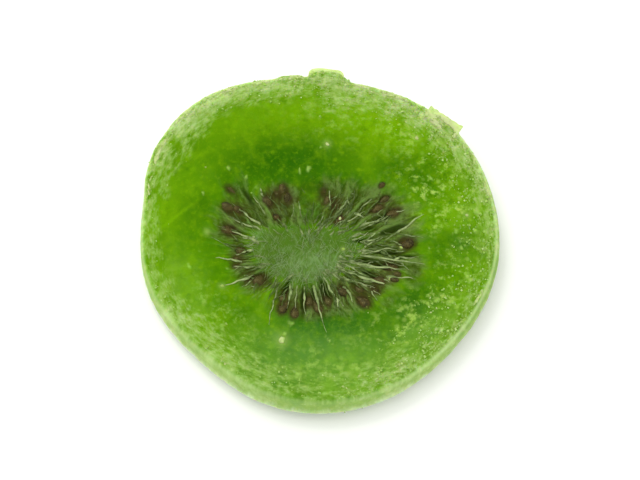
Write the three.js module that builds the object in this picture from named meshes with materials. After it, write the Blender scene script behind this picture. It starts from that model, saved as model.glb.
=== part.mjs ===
// A slice of candied kiwi: one solid disc of jelly-like fruit, cut across the fruit, sugared and dried.
// Millimetres, +Z up. The slice lies on its underside, with the origin in the middle of its footprint
// and the wider way across the fruit along X.
import * as THREE from "three";

const { clamp, degToRad, euclideanModulo, radToDeg, smoothstep } = THREE.MathUtils;

// The outline: a circle with broad swells. Each swell has crests evenly spaced round the slice,
// one of them at the given angle in degrees from +X towards +Y.
const MEAN_RADIUS = 26.7;
const SWELLS = [
  { crests: 2, height: 0.76, at: -25 },
  { crests: 3, height: 0.73, at: 22 },
  { crests: 4, height: 0.17, at: 38 },
  { crests: 5, height: 0.3, at: -15 },
  { crests: 6, height: 0.09, at: 20 },
  { crests: 7, height: 0.12, at: -10 },
];

// Sugared scraps of crust left on the upper edge, in degrees and millimetres.
const SCRAPS = [
  { at: 41, halfWidth: 4, reach: 0.8, rise: 0.25 },
  { at: 86, halfWidth: 6.5, reach: 1.3, rise: 0.3 },
  { at: 99, halfWidth: 5, reach: 0.4, rise: 0.1 },
  { at: 157, halfWidth: 9, reach: 0.5, rise: 0.1 },
];

// The cut face: sunk inside a raised rim, with faint lumps. Rim places are shares of the radius.
const THICKNESS = 6;
const DISH = { depth: 0.7, from: 0.35 };
const RIM = { at: 0.925, width: 0.055, rise: 0.25 };
const LUMPS = { height: 0.07, lengthX: 13, lengthY: 16 };

// The pale core, bent up at its ends, and the band of seed chambers round it.
const CORE = { x: -1.9, y: -3.8, halfX: 8, halfY: 4.4, bend: 1.8, rise: 0.25 };
const BAND = { x: -0.1, y: -2.7, halfX: 15, halfY: 10.9, bend: 3, sink: 0.35 };
const NOTCH = { at: 90, halfWidth: 17, depth: 0.2 }; // the band's outer edge dips in here
const CHAMBERS = 32;
const PLEAT = 0.2;

// How the slice curled as it dried, and the flat part that it rests on.
const CURL = [
  { crests: 2, height: 0.28, at: 75 },
  { crests: 3, height: 0.2, at: 10 },
];
const CURL_FROM = 0.6;
const FOOT = 0.8;
const FOOT_EDGE_LIFT = 0.6;
const CURL_SHARE_BELOW = 0.5;

// Rings of vertices from the middle of the underside, up the wall and back over the cut face.
// Across is a share of the radius, and up is a share of the way from the underside to the cut face.
const STEPS_ROUND = 160;
const FACE_EDGE = 0.965;
const FACE_RINGS = 20;
const RING_CROWDING = 1.3; // above 1, the rings of the cut face crowd towards its rim
const UNDERSIDE = [0, FOOT, 0.86, 0.92, FACE_EDGE].map((across) => ({ across, up: 0 }));
const WALL_RINGS = 5;
const WALL = Array.from({ length: WALL_RINGS }, (_, ring) => {
  const turn = (Math.PI * (ring + 1)) / (WALL_RINGS + 1);
  return { across: FACE_EDGE + (1 - FACE_EDGE) * Math.sin(turn), up: (1 - Math.cos(turn)) / 2 };
});
const FACE = Array.from({ length: FACE_RINGS }, (_, ring) => {
  const inward = ring / (FACE_RINGS - 1);
  return { across: FACE_EDGE * (1 - inward ** RING_CROWDING), up: 1 };
});
const RINGS = [...UNDERSIDE, ...WALL, ...FACE];

// A rounded hump: 1 at zero, nearly nothing at 2 either way.
function hump(distance) {
  return Math.exp(-distance * distance);
}

// How far an angle is from a bearing in degrees, in units of a half width in degrees.
function awayFrom(angle, bearing, halfWidth) {
  return (euclideanModulo(radToDeg(angle) - bearing + 180, 360) - 180) / halfWidth;
}

// The sum of some swells at an angle round the slice.
function swell(swells, angle) {
  return swells.reduce((sum, s) => sum + s.height * Math.cos(s.crests * (angle - degToRad(s.at))), 0);
}

// Where a point is in an oval whose ends are bent up: share is 1 at its edge, bearing goes round it.
function inOval(oval, x, y) {
  const u = (x - oval.x) / oval.halfX;
  const v = (y - oval.y - oval.bend * u * u) / oval.halfY;
  return { share: Math.hypot(u, v), bearing: Math.atan2(v, u) };
}

// How much of the band's sinking is felt at a point, with a pleat at each seed chamber.
function bandDepth(x, y) {
  const core = inOval(CORE, x, y);
  const band = inOval(BAND, x, y);
  const notch = NOTCH.depth * hump(awayFrom(band.bearing, NOTCH.at, NOTCH.halfWidth));
  const outer = band.share / (1 - notch);
  const inBand = smoothstep(core.share, 0.8, 1.35) * (1 - smoothstep(outer, 0.8, 1.25));
  const pleat = 0.5 + 0.5 * Math.cos(CHAMBERS * band.bearing);
  return inBand * (BAND.sink - PLEAT * pleat);
}

// Height of the cut face above the surface that the slice rests on.
function faceHeight(x, y, across, angle) {
  const dish = DISH.depth * (1 - smoothstep(across, DISH.from, RIM.at));
  const rim = RIM.rise * hump((across - RIM.at) / RIM.width);
  const core = CORE.rise * (1 - smoothstep(inOval(CORE, x, y).share, 0.3, 1));
  const lumps = LUMPS.height * Math.sin((2 * Math.PI * x) / LUMPS.lengthX)
    * Math.cos((2 * Math.PI * y) / LUMPS.lengthY);
  const curl = swell(CURL, angle) * smoothstep(across, CURL_FROM, 1);
  return THICKNESS - dish + rim + core + lumps + curl - bandDepth(x, y);
}

// Height of the underside: flat where the slice rests, lifting at its edge.
function undersideHeight(across, angle) {
  const lift = FOOT_EDGE_LIFT + CURL_SHARE_BELOW * swell(CURL, angle);
  return lift * smoothstep(across, FOOT, 1);
}

// Puts a vertex of a ring in its place at an angle round the slice.
function place(ring, angle) {
  const atUpperEdge = smoothstep(ring.up, 0.5, 1) * smoothstep(ring.across, 0.9, FACE_EDGE);
  let radius = ring.across * (MEAN_RADIUS + swell(SWELLS, angle));
  let scrapRise = 0;
  for (const scrap of SCRAPS) {
    const here = atUpperEdge * hump(awayFrom(angle, scrap.at, scrap.halfWidth) ** 2);
    radius += scrap.reach * here;
    scrapRise += scrap.rise * here;
  }
  const x = radius * Math.cos(angle);
  const y = radius * Math.sin(angle);
  const low = undersideHeight(ring.across, angle);
  const high = faceHeight(x, y, clamp(ring.across, 0, FACE_EDGE), angle);
  return new THREE.Vector3(x, y, low + (high - low) * ring.up + scrapRise);
}

// The slice is turned on a lathe as a plain disc, and its vertices are then moved to the fruit's shape.
function sliceGeometry() {
  const profile = RINGS.map((ring) => new THREE.Vector2(ring.across, ring.up));
  const geometry = new THREE.LatheGeometry(profile, STEPS_ROUND).rotateX(Math.PI / 2);
  const position = geometry.getAttribute("position");
  for (let i = 0; i < position.count; i += 1) {
    const angle = Math.atan2(position.getY(i), position.getX(i));
    const point = place(RINGS[i % RINGS.length], angle);
    position.setXYZ(i, point.x, point.y, point.z);
  }
  geometry.computeBoundingBox();
  const middle = geometry.boundingBox.getCenter(new THREE.Vector3());
  return geometry.translate(-middle.x, -middle.y, 0);
}

const candiedFlesh = new THREE.MeshStandardMaterial({ color: 0x629906, roughness: 0.4, metalness: 0 });
const kiwiSlice = new THREE.Mesh(sliceGeometry(), candiedFlesh);
kiwiSlice.name = "kiwi_slice";

const part = new THREE.Group();
part.add(kiwiSlice);
export default part;
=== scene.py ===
# %% [markdown]
# # One slice of candied kiwi
# A kiwi slice that was boiled in syrup and dried is a leathery jelly: green and see-through in its flesh,
# grey and hairy in its core, dark where the seeds sit, and dusted with sugar along its rim.
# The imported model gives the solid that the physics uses. Here a finer skin takes its place, and what lies
# on it or sticks out of it is made in turn: seeds, threads, fuzz, crust flakes and grains of sugar.

# %% Load the frame
import math
import random

import bmesh
import bpy
from mathutils import Matrix, Vector, noise
from mathutils.bvhtree import BVHTree


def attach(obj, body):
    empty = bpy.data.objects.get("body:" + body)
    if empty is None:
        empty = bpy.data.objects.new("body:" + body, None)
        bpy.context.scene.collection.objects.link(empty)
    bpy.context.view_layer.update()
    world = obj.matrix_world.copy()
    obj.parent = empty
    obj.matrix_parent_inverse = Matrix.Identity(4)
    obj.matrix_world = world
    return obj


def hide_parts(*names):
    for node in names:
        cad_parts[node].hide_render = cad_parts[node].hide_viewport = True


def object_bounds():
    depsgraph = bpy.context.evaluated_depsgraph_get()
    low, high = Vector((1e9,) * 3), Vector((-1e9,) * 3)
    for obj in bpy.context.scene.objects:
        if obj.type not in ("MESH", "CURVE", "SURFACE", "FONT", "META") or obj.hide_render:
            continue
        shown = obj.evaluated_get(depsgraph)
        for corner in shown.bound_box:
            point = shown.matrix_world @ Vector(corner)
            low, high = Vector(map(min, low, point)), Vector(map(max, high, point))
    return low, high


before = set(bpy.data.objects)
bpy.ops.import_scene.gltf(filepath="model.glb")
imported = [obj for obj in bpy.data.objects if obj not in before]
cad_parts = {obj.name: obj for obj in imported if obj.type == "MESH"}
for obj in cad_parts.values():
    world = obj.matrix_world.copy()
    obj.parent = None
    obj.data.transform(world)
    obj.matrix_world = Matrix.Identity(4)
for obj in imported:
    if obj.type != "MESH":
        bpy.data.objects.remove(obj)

MM = 0.001
NODE = "kiwi_slice"
CAD_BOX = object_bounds()
print("packed solid, mm:", [[round(v / MM, 2) for v in corner] for corner in CAD_BOX])

# %% [markdown]
# ## The form of the slice
# The solid is a thin disc pushed out of round by a few broad swells, the way a real fruit is. The same
# named sizes are used here, in millimetres, so that the fine skin lies on the solid everywhere. A check
# further down prints how far apart the two are.

# %% Sizes of the slice
MEAN_RADIUS = 26.7
SWELLS = ((2, 0.76, -25), (3, 0.73, 22), (4, 0.17, 38), (5, 0.3, -15), (6, 0.09, 20), (7, 0.12, -10))
SCRAPS = ((41, 4, 0.8, 0.25), (86, 6.5, 1.3, 0.3), (99, 5, 0.4, 0.1), (157, 9, 0.5, 0.1))
THICKNESS = 6
DISH_DEPTH, DISH_FROM = 0.7, 0.35
RIM_AT, RIM_WIDTH, RIM_RISE = 0.925, 0.055, 0.25
LUMP_HEIGHT, LUMP_X, LUMP_Y = 0.07, 13, 16
CURL = ((2, 0.28, 75), (3, 0.2, 10))
CURL_FROM = 0.6
FOOT, FOOT_EDGE_LIFT, CURL_SHARE_BELOW = 0.8, 0.6, 0.5
FACE_EDGE = 0.965

# %% [markdown]
# The core and the band of seed chambers are ovals whose ends are bent up a little, like a smile.
# An oval here is its middle, its two half widths and how far its ends are bent up.

# %% Sizes of the core and the seed band
CORE = (-1.9, -3.8, 8.0, 4.4, 1.8)
BAND = (-0.1, -2.7, 15.0, 10.9, 3.0)
CORE_RISE = 0.25
BAND_SINK, PLEAT, CHAMBERS = 0.35, 0.2, 32
NOTCH_AT, NOTCH_HALF_WIDTH, NOTCH_DEPTH = 90, 17, 0.2

# %% Small helpers that shape everything


def clamp(value, low=0.0, high=1.0):
    return max(low, min(high, value))


def smoothstep(value, start, end):
    """0 before start, 1 after end, and a soft S between them."""
    t = clamp((value - start) / (end - start))
    return t * t * (3 - 2 * t)


def mix(share, low, high):
    return low + (high - low) * share


def hump(distance):
    """A rounded hump: 1 at zero, nearly nothing at 2 either way."""
    return math.exp(-distance * distance)


def away_from(angle, bearing, half_width):
    """How far an angle in radians is from a bearing in degrees, in half widths."""
    return ((math.degrees(angle) - bearing + 180) % 360 - 180) / half_width


def swell(swells, angle):
    return sum(height * math.cos(crests * (angle - math.radians(at))) for crests, height, at in swells)


def in_oval(oval, x, y):
    """Share of the way to the oval's edge, and the bearing round it."""
    middle_x, middle_y, half_x, half_y, bend = oval
    u = (x - middle_x) / half_x
    v = (y - middle_y - bend * u * u) / half_y
    return math.hypot(u, v), math.atan2(v, u)


# %% The outline, and the heights of the two cut faces


def outline(angle):
    return MEAN_RADIUS + swell(SWELLS, angle)


def band_share(x, y):
    """1 in the middle of the band of seed chambers, 0 in the core and in the outer flesh."""
    core, _ = in_oval(CORE, x, y)
    band, bearing = in_oval(BAND, x, y)
    notch = NOTCH_DEPTH * hump(away_from(bearing, NOTCH_AT, NOTCH_HALF_WIDTH))
    outer = band / (1 - notch)
    return smoothstep(core, 0.8, 1.35) * (1 - smoothstep(outer, 0.8, 1.25)), bearing


def face_height(x, y, across, angle):
    dish = DISH_DEPTH * (1 - smoothstep(across, DISH_FROM, RIM_AT))
    rim = RIM_RISE * hump((across - RIM_AT) / RIM_WIDTH)
    core = CORE_RISE * (1 - smoothstep(in_oval(CORE, x, y)[0], 0.3, 1))
    lumps = LUMP_HEIGHT * math.sin(2 * math.pi * x / LUMP_X) * math.cos(2 * math.pi * y / LUMP_Y)
    curl = swell(CURL, angle) * smoothstep(across, CURL_FROM, 1)
    in_band, bearing = band_share(x, y)
    pleat = 0.5 + 0.5 * math.cos(CHAMBERS * bearing)
    return THICKNESS - dish + rim + core + lumps + curl - in_band * (BAND_SINK - PLEAT * pleat)


def underside_height(across, angle):
    lift = FOOT_EDGE_LIFT + CURL_SHARE_BELOW * swell(CURL, angle)
    return lift * smoothstep(across, FOOT, 1)


def scrap_at(across, up, angle):
    """How far a scrap of crust pushes the upper edge out and up."""
    at_upper_edge = smoothstep(up, 0.5, 1) * smoothstep(across, 0.9, FACE_EDGE)
    near = [at_upper_edge * hump(away_from(angle, at, half) ** 2) for at, half, _, _ in SCRAPS]
    reach = sum(share * scrap[2] for share, scrap in zip(near, SCRAPS))
    return reach, sum(share * scrap[3] for share, scrap in zip(near, SCRAPS))


# %% [markdown]
# The solid's origin is the middle of its own box, so the form is first measured all round its wall, and
# its middle is taken off everywhere. After that, x and y are the frame's own, in millimetres.

# %% The middle of the form
WALL_STEPS = 12


def edge_point(angle, up):
    across = FACE_EDGE + (1 - FACE_EDGE) * math.sin(math.acos(1 - 2 * up))
    radius = across * outline(angle) + scrap_at(across, up, angle)[0]
    return Vector((radius * math.cos(angle), radius * math.sin(angle), 0))


EDGE = [edge_point(math.radians(d), s / WALL_STEPS) for d in range(360) for s in range(WALL_STEPS + 1)]
MIDDLE = Vector([(max(p[axis] for p in EDGE) + min(p[axis] for p in EDGE)) / 2 for axis in range(3)])
print("middle of the form before it is centred, mm:", [round(v, 3) for v in MIDDLE])

# %% [markdown]
# ## Where the seeds sit
# Kiwi seeds lie in narrow chambers that point at the core. Each row below is one seed that shows at the
# cut: its bearing from the core's middle in degrees, its distance from there in millimetres, how deep it
# lies in the jelly, from 0 for bare to 1 for drowned, and its size, where 1 is the usual one. They are
# placed before the flesh is made, because the flesh sinks and darkens round them. The other cut face
# shows the same chambers, so its seeds are the same rows, each moved a little.

# %% The seeds of both cut faces
HEART = Vector((-2.3, -2.9, 0))
SEEDS = (
    (148, 13.6, 0.5, 1.05), (145, 12.2, 0.35, 0.7), (138, 15.3, 0.9, 0.9), (162, 11.9, 0.25, 1.1),
    (177, 9.5, 0.7, 0.75), (-176, 10.2, 0.85, 0.7), (-169, 10.4, 0.9, 0.7), (123, 10.1, 0.45, 0.95),
    (106, 9.1, 0.3, 0.9), (107, 10.6, 0.6, 1.0), (113, 10.4, 0.75, 0.9), (126, 7.1, 0.1, 0.55),
    (68, 9.4, 0.75, 0.9), (59, 9.0, 0.65, 0.9), (74, 10.2, 0.85, 0.8), (46, 7.4, 0.0, 0.75),
    (43, 15.9, 0.15, 0.5), (33, 13.0, 0.3, 0.95), (26, 15.0, 0.2, 1.05), (36, 14.9, 0.8, 0.7),
    (6, 15.3, 0.05, 1.2), (-9, 12.9, 0.5, 1.0), (-14, 14.0, 0.75, 0.8), (-21, 11.8, 0.25, 1.0),
    (-17, 13.7, 0.5, 0.8), (-29, 11.9, 0.7, 0.9), (-46, 8.0, 0.2, 0.9), (-41, 11.7, 0.1, 1.1),
    (-34, 9.8, 0.85, 0.8), (-148, 7.6, 0.55, 1.15), (-153, 9.0, 0.85, 0.9), (-111, 9.1, 0.25, 1.1),
    (-114, 7.4, 0.8, 0.8), (-99, 9.5, 0.25, 0.9), (-84, 7.6, 0.75, 1.0), (-77, 8.6, 0.7, 0.9),
    (-66, 8.0, 0.9, 0.9),
)
BEARING_SPREAD, DISTANCE_SPREAD, DEEPEST_BELOW = 4.0, 0.9, 0.9


def from_heart(bearing, distance):
    """A point of a cut face, by its bearing in degrees and its distance from the core's middle."""
    turn = math.radians(bearing)
    return HEART + distance * Vector((math.cos(turn), math.sin(turn), 0))


def seed_spots(rows):
    """For each row, the seed's place on the face, its heading in radians, its depth and its size."""
    return [(from_heart(b, distance), math.radians(b), depth, size) for b, distance, depth, size in rows]


def moved_rows(rows, chance):
    moved = []
    for bearing, distance, _, size in rows:
        bearing += chance.gauss(0, BEARING_SPREAD)
        distance += chance.gauss(0, DISTANCE_SPREAD)
        moved.append((bearing, distance, chance.uniform(0, DEEPEST_BELOW), size))
    return moved


TOP_SEEDS = seed_spots(SEEDS)
UNDER_SEEDS = seed_spots(moved_rows(SEEDS, random.Random(11)))
print("seeds that show above and below:", len(TOP_SEEDS), len(UNDER_SEEDS))

# %% [markdown]
# ## Soft patches
# The flesh is uneven in ways that no noise gives: painted shade darkens it in broad patches where less
# light shines through it, painted light makes it glow yellower near the top edge, in a few other places and
# along a crease, a thin haze lies on the side where it sagged, sugar dust lies in clumps on the right, the
# pith of the core is palest low down, the band of chambers has openings and murky places, and some chambers
# gape without a seed. Each patch is an oval: its middle, the heading of its long side in degrees, its half
# length and half width in millimetres, and how strong it is.

# %% Patches of the cut faces
# Painted shade: patches where the jelly is darker because less light shines through it.
PAINTED_SHADE = (
    (-4.0, 11.6, 0, 13.0, 6.0, 1.0), (1.0, 8.5, 0, 9.0, 3.2, 1.0), (12.0, 10.5, -15, 6.0, 3.4, 0.8),
    (20.0, -1.4, 0, 5.0, 2.2, 0.8), (18.0, -4.0, 90, 2.6, 2.4, 0.7), (13.0, -11.0, 40, 6.0, 3.5, 0.95),
    (2.5, -13.5, 0, 10.0, 4.4, 1.0), (-10.5, -12.5, -30, 3.5, 2.5, 0.45), (-17.5, 3.5, 90, 4.0, 3.5, 0.55),
    (-1.6, 3.6, 0, 3.2, 2.0, 1.0),
)
# Painted light: patches where the jelly glows yellower because light shines through it, and a thin lighter
# line along a crease on the left.
PAINTED_GLOW = (
    (8.0, 17.0, -12, 10.0, 5.4, 1.0), (-4.0, 18.5, 0, 9.0, 4.0, 0.8), (-12.0, 16.5, 30, 7.0, 4.0, 0.6),
    (-19.0, -10.0, 110, 8.0, 3.0, 0.5), (-21.5, 4.5, 41, 4.5, 2.0, 0.3), (-20.7, 3.5, 41, 4.6, 0.3, 1.0),
    (19.5, 9.0, -60, 4.0, 2.4, 0.6), (20.0, 3.0, 90, 3.0, 2.0, 0.5),
)
HAZE = (
    (0.0, -20.5, 0, 18.0, 7.0, 1.0), (14.0, -16.5, 40, 9.0, 5.0, 0.8), (21.5, -2.0, 90, 12.0, 4.0, 0.3),
    (-6.0, -16.0, 0, 5.0, 3.0, 0.6), (-19.5, -9.0, 110, 8.0, 4.0, 0.5),
)
MURK = (
    (-1.8, 4.8, 0, 3.4, 2.4, 0.75), (10.0, 2.4, 20, 2.8, 1.6, 0.8), (13.8, -4.9, 90, 3.8, 2.0, 1.0),
    (10.3, -10.3, 35, 3.0, 1.6, 0.6), (-2.0, -11.0, 0, 2.6, 2.4, 1.0), (-1.5, -12.6, 0, 2.4, 1.4, 0.8),
    (1.5, 7.6, 0, 7.5, 2.1, 0.85), (-12.6, 6.4, 60, 3.6, 2.2, 0.8),
)
DUST = (
    (16.5, 8.0, 60, 7.0, 4.5, 1.0), (20.5, 6.5, 105, 7.0, 4.5, 0.85), (22.0, -5.5, 80, 5.0, 2.6, 0.9),
    (18.5, -9.0, 60, 8.0, 4.5, 0.8), (12.5, -15.0, 40, 8.0, 4.5, 0.8), (14.0, 16.0, -35, 9.0, 4.5, 0.5),
    (4.0, 18.5, -10, 9.0, 3.5, 0.4), (0.0, -20.5, 0, 12.0, 3.6, 0.5), (16.5, 2.4, 0, 3.8, 2.2, 0.95),
    (-15.0, -14.0, -45, 8.0, 4.0, 0.5),
)
OPENINGS = (
    (-1.6, 4.2, 0, 3.0, 2.2, 0.5), (-9.8, 7.2, 120, 2.0, 0.8, 0.6), (-14.8, -4.8, 75, 3.4, 1.8, 0.9),
    (-7.0, -9.6, -35, 2.4, 1.6, 0.7),
)
PITH = ((-1.2, -4.6, 4, 6.6, 2.8, 1.0), (-9.5, 0.4, 100, 3.8, 1.8, 0.65), (2.8, -3.0, 0, 2.6, 2.0, 0.3))
GAPS = (
    (10.9, 0.9, 20, 2.7, 0.6, 1.0), (7.0, -4.0, -3, 1.9, 0.45, 1.0), (10.0, -4.9, -5, 2.6, 0.6, 0.9),
    (6.3, -0.9, 6, 1.7, 0.4, 0.8), (9.7, 5.9, 25, 1.2, 0.45, 0.9), (10.4, -2.8, -2, 2.4, 0.3, 0.8),
    (-10.8, 6.1, 122, 2.3, 0.6, 0.7), (-11.7, -2.6, 172, 1.5, 0.35, 1.0), (-5.1, -8.7, -108, 1.9, 0.5, 1.0),
    (0.7, -8.9, -72, 2.3, 0.8, 1.0), (-0.7, -10.2, -80, 2.6, 0.7, 0.9), (-2.4, -10.2, -92, 2.4, 0.7, 1.0),
    (9.6, 2.9, 24, 2.2, 0.6, 0.9), (12.6, -3.4, 0, 2.0, 0.4, 0.9), (7.3, -6.1, -25, 1.7, 0.45, 0.9),
    (7.2, 1.1, 18, 1.4, 0.35, 0.7), (13.6, 2.6, 22, 2.0, 0.3, 0.6),
)


def patch_at(patches, x, y):
    """The strongest of some soft oval patches at a point, from 0 to 1."""
    best = 0.0
    for middle_x, middle_y, heading, half_long, half_wide, strength in patches:
        dx, dy = x - middle_x, y - middle_y
        if dx * dx + dy * dy < 4 * half_long * half_long:
            turn = math.radians(heading)
            along = (dx * math.cos(turn) + dy * math.sin(turn)) / half_long
            aside = (dy * math.cos(turn) - dx * math.sin(turn)) / half_wide
            best = max(best, strength * hump(math.hypot(along, aside)))
    return best


ALL_PATCHES = (PAINTED_SHADE, PAINTED_GLOW, HAZE, MURK, DUST, OPENINGS, PITH, GAPS)
print("soft patches:", sum(len(patches) for patches in ALL_PATCHES))

# %% [markdown]
# ## How far the sugar reaches in
# Sugar dries into a pale film that is thick at the edge and thins out over the cut face, and into loose
# grit on top. Where the face meets the wall, a thin bright line is painted as the edge's highlight. All are
# different all round, so each width and each strength is a base with a few humps: a bearing, a half width
# in degrees, and how much it adds there.

# %% The film, the lip and the grit round the edge
FILM_WIDTH, FILM_STRENGTH = 6.0, 0.58
FILM_WIDENS = (
    (180, 18, -0.6), (102, 14, 1.0), (74, 20, 2.8), (-15, 18, 1.8), (-75, 24, 3.4),
    (-110, 20, 2.0), (-127, 17, 3.2),
)
FILM_THICKENS = (
    (168, 14, -0.14), (134, 18, 0.5), (116, 14, 0.12), (72, 14, 0.08), (45, 18, 0.27), (15, 14, -0.08),
    (-15, 18, -0.38), (-75, 18, -0.2), (-97, 12, -0.2), (-135, 22, -0.12), (-43, 14, -0.26),
    (-168, 16, -0.14),
)
# The lip is a painted highlight: a thin pale line where the cut face meets the wall.
LIP_AT, LIP_HALF_WIDTH, LIP_STRENGTH = 0.3, 0.26, 0.14
LIP_SHIFTS = ((2, 46, 0.3),)
LIP_THICKENS = (
    (172, 32, 0.4), (125, 34, 0.4), (70, 40, 0.4), (2, 40, 0.66), (-48, 26, 0.6), (-130, 34, 0.3),
)
GRIT_WIDTH = 2.0
GRIT_WIDENS = ((140, 24, 1.2), (88, 30, 3.2), (48, 22, 3.6), (4, 34, 7.5), (-45, 24, 7.0), (-95, 30, 4.0))
GRIT_THICKENS = ((138, 22, 0.45), (90, 34, 0.5), (45, 20, 0.55), (5, 26, 0.36), (-48, 26, 0.4))
GRIT_STRENGTH, GRIT_ON_WALL = 0.15, 0.02


def round_the_edge(base, humps, angle):
    return base + sum(more * hump(away_from(angle, at, half)) for at, half, more in humps)


def from_edge(across, angle):
    """How far inside the outline a point is, in millimetres."""
    return max(0.0, 1 - across) * outline(angle)


def film_at(x, y, across, angle):
    """1 on thick crust, 0 on the bare jelly."""
    inward = from_edge(across, angle)
    wobble = 1 + 0.4 * noise.noise(Vector((x, y, 0)) * 0.2) + 0.3 * noise.noise(Vector((x, y, 7)) * 0.5)
    near = 1 - smoothstep(inward / (round_the_edge(FILM_WIDTH, FILM_WIDENS, angle) * wobble), 0.0, 1.0)
    return near * clamp(round_the_edge(FILM_STRENGTH, FILM_THICKENS, angle))


def lip_highlight_at(across, up, angle):
    """1 along the thin painted highlight where the cut face meets the wall, 0 away from it."""
    off_line = from_edge(across, angle) - round_the_edge(LIP_AT, LIP_SHIFTS, angle)
    line = hump(off_line / LIP_HALF_WIDTH) * smoothstep(up, 0.5, 0.85)
    return line * clamp(round_the_edge(LIP_STRENGTH, LIP_THICKENS, angle))


def grit_at(x, y, across, angle, wall):
    """How densely grains of sugar lie, from 0 to 1: in drifts, and scarcer the further they are in."""
    inward = from_edge(across, angle)
    drift = noise.noise(Vector((x, y, 21)) * 0.42) + 0.5 * noise.noise(Vector((x, y, 3)))
    drift = smoothstep(drift, -0.45, 0.35)
    near = 1 - smoothstep(inward / round_the_edge(GRIT_WIDTH, GRIT_WIDENS, angle), 0.1, 1.0)
    crust = clamp(round_the_edge(GRIT_STRENGTH, GRIT_THICKENS, angle))
    return near * crust * mix(smoothstep(inward, 0.3, 2.5), 1, drift) * mix(wall, 1, GRIT_ON_WALL)


FILM_WIDTHS = [round_the_edge(FILM_WIDTH, FILM_WIDENS, math.radians(d)) for d in (0, 90, 180, 270)]
print("film's width each quarter turn, mm:", [round(width, 1) for width in FILM_WIDTHS])

# %% [markdown]
# Syrup also dries into rounded clots. A few large ones have rows of their own: their place, their width
# and how far they are lifted, in millimetres. Four of the rows, on the core and on three seeds, are pale
# lumps that stand for glints, so they are painted highlights. They are made as lumps further down, and here
# the skin only turns pale round them. Small ones are bumps of the skin itself, in the cells of a grid that
# noise has warped, and more of the cells have one where grit lies. This one kind of noise would change with
# the clock, so it is given a seed.

# %% Clots as bumps of the skin
CLOTS_AND_GLINTS = (
    (-5.6, -16.6, 1.1, 0.0), (1.1, 14.6, 0.6, 0.0), (-16.9, 0.4, 0.45, 0.0), (3.5, -2.3, 0.5, 0.0),
    (12.1, -2.0, 0.45, 0.0), (10.5, -6.9, 0.55, 0.0), (3.0, 2.6, 0.5, 0.3), (-14.5, -8.2, 0.5, 0.0),
    (4.3, 21.8, 0.5, 0.0), (14.7, 15.4, 0.5, 0.0), (-12.1, 21.8, 0.5, 0.0), (22.0, 2.9, 0.5, 0.0),
)
CLOT_STEP, CLOT_REACH, CLOT_WARP, CLOTS_BARE, CLOTS_GRITTY = 1.2, 0.45, 0.6, 0.04, 0.8
noise.seed_set(13)


def clot_at(x, y, grit):
    """Rounded clots of sugar: 1 in the middle of one, 0 between them, and more of them where grit lies."""
    here = Vector((x, y, 0))
    distances, centres = noise.voronoi((here + CLOT_WARP * noise.noise_vector(here * 1.1)) / CLOT_STEP)
    luck = 0.5 + 0.5 * noise.cell(centres[0] * 7.3)
    share = mix(clamp(grit), CLOTS_BARE, CLOTS_GRITTY)
    size = CLOT_REACH * mix(luck / share, 1.1, 0.6)
    return (1 - smoothstep(distances[0], 0.3 * size, size)) * (luck < share)


# %% [markdown]
# ## Relief of the skin
# A cut face is never smooth: fibres run out from the core, a pocket sinks round each seed, and a crust
# lies at the rim. The core is long, so fibres leave it at right angles to its mid-line, and not from one
# point. Noise that is read on a circle has no seam, and stretched along the distance from the mid-line it
# turns into fibres.

# %% Fibres and pockets
HEART_HALF, MID_LINE_PULL = 4.4, 0.35
WIDE_FIBRES, FINE_FIBRES, FIBRES_WAVE = (60, 0.13), (150, 0.24, 9), 0.1
POCKET_LONG, POCKET_WIDE, POCKET_SPREAD, POCKET_DROWNED = 1.6, 1.1, 1.05, 0.75
SHADE_SPREAD, SHADE_REACH, SHADE_DEPTH = 1.7, 6.0, 0.75


def from_mid_line(x, y):
    """Distance and bearing of a point from the nearest point of the core's mid-line."""
    dx, dy = x - HEART.x, y - HEART.y
    along = clamp(dx, -HEART_HALF, HEART_HALF)
    aside = dx - along
    return math.hypot(aside, dy), math.atan2(dy, aside + MID_LINE_PULL * along)


def streaks(bearing, distance, count, stretch, layer=0.0):
    """Noise in about count streaks round the core, from -1 to 1, that change along the distance."""
    ring = count / math.tau
    along = distance * stretch + layer
    return noise.noise(Vector((math.cos(bearing) * ring, math.sin(bearing) * ring, along)))


def fibre_at(x, y):
    """How far a fibre stands out, from -1 to 1, and how far the point is from the core's mid-line."""
    distance, bearing = from_mid_line(x, y)
    bearing += FIBRES_WAVE * noise.noise(Vector((x, y, 40)) * 0.4)
    fibre = 1.1 * streaks(bearing, distance, *WIDE_FIBRES)
    fibre += 1.4 * streaks(bearing, distance, *FINE_FIBRES)
    return clamp(fibre, -1, 1), distance


def seed_marks(x, y, spots):
    """How much seeds are felt at a point: their pockets, and the wider shade round them, from 0 to 1."""
    felt, bright = 0.0, 1.0
    for spot, turn, depth, size in spots:
        dx, dy = x - spot.x, y - spot.y
        if abs(dx) + abs(dy) > SHADE_REACH:
            continue
        along = (dx * math.cos(turn) + dy * math.sin(turn)) / (POCKET_LONG * size)
        aside = (dy * math.cos(turn) - dx * math.sin(turn)) / (POCKET_WIDE * size)
        away = math.hypot(along, aside)
        felt = max(felt, hump(away / POCKET_SPREAD) * mix(depth, 1.0, POCKET_DROWNED))
        bright *= 1 - SHADE_DEPTH * hump(away / SHADE_SPREAD)
    return felt, 1 - bright


# %% Relief of a cut face and of the crust
SLACK = ((0.35, 0.06), (1.1, 0.03), (2.6, 0.02))
CRUST_LUMPS = ((0.8, 0.07), (2.1, 0.05), (4.6, 0.03))
FLAKE_STEP, FLAKE_HEIGHT = 1.15, 0.05
FIBRE_RELIEF, GAP_DEPTH, POCKET_DEPTH, CLOT_HEIGHT = 0.17, 0.3, 0.1, 0.16
WIDE_CREASES, FINE_CREASES = (16, 1.5, 0.09), (44, 2.5, 0.06)


def layered(point, layers):
    """Noise of several sizes at once: each layer is how fine it is and how high it stands."""
    return sum(height * noise.noise(point * fine) for fine, height in layers)


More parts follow.
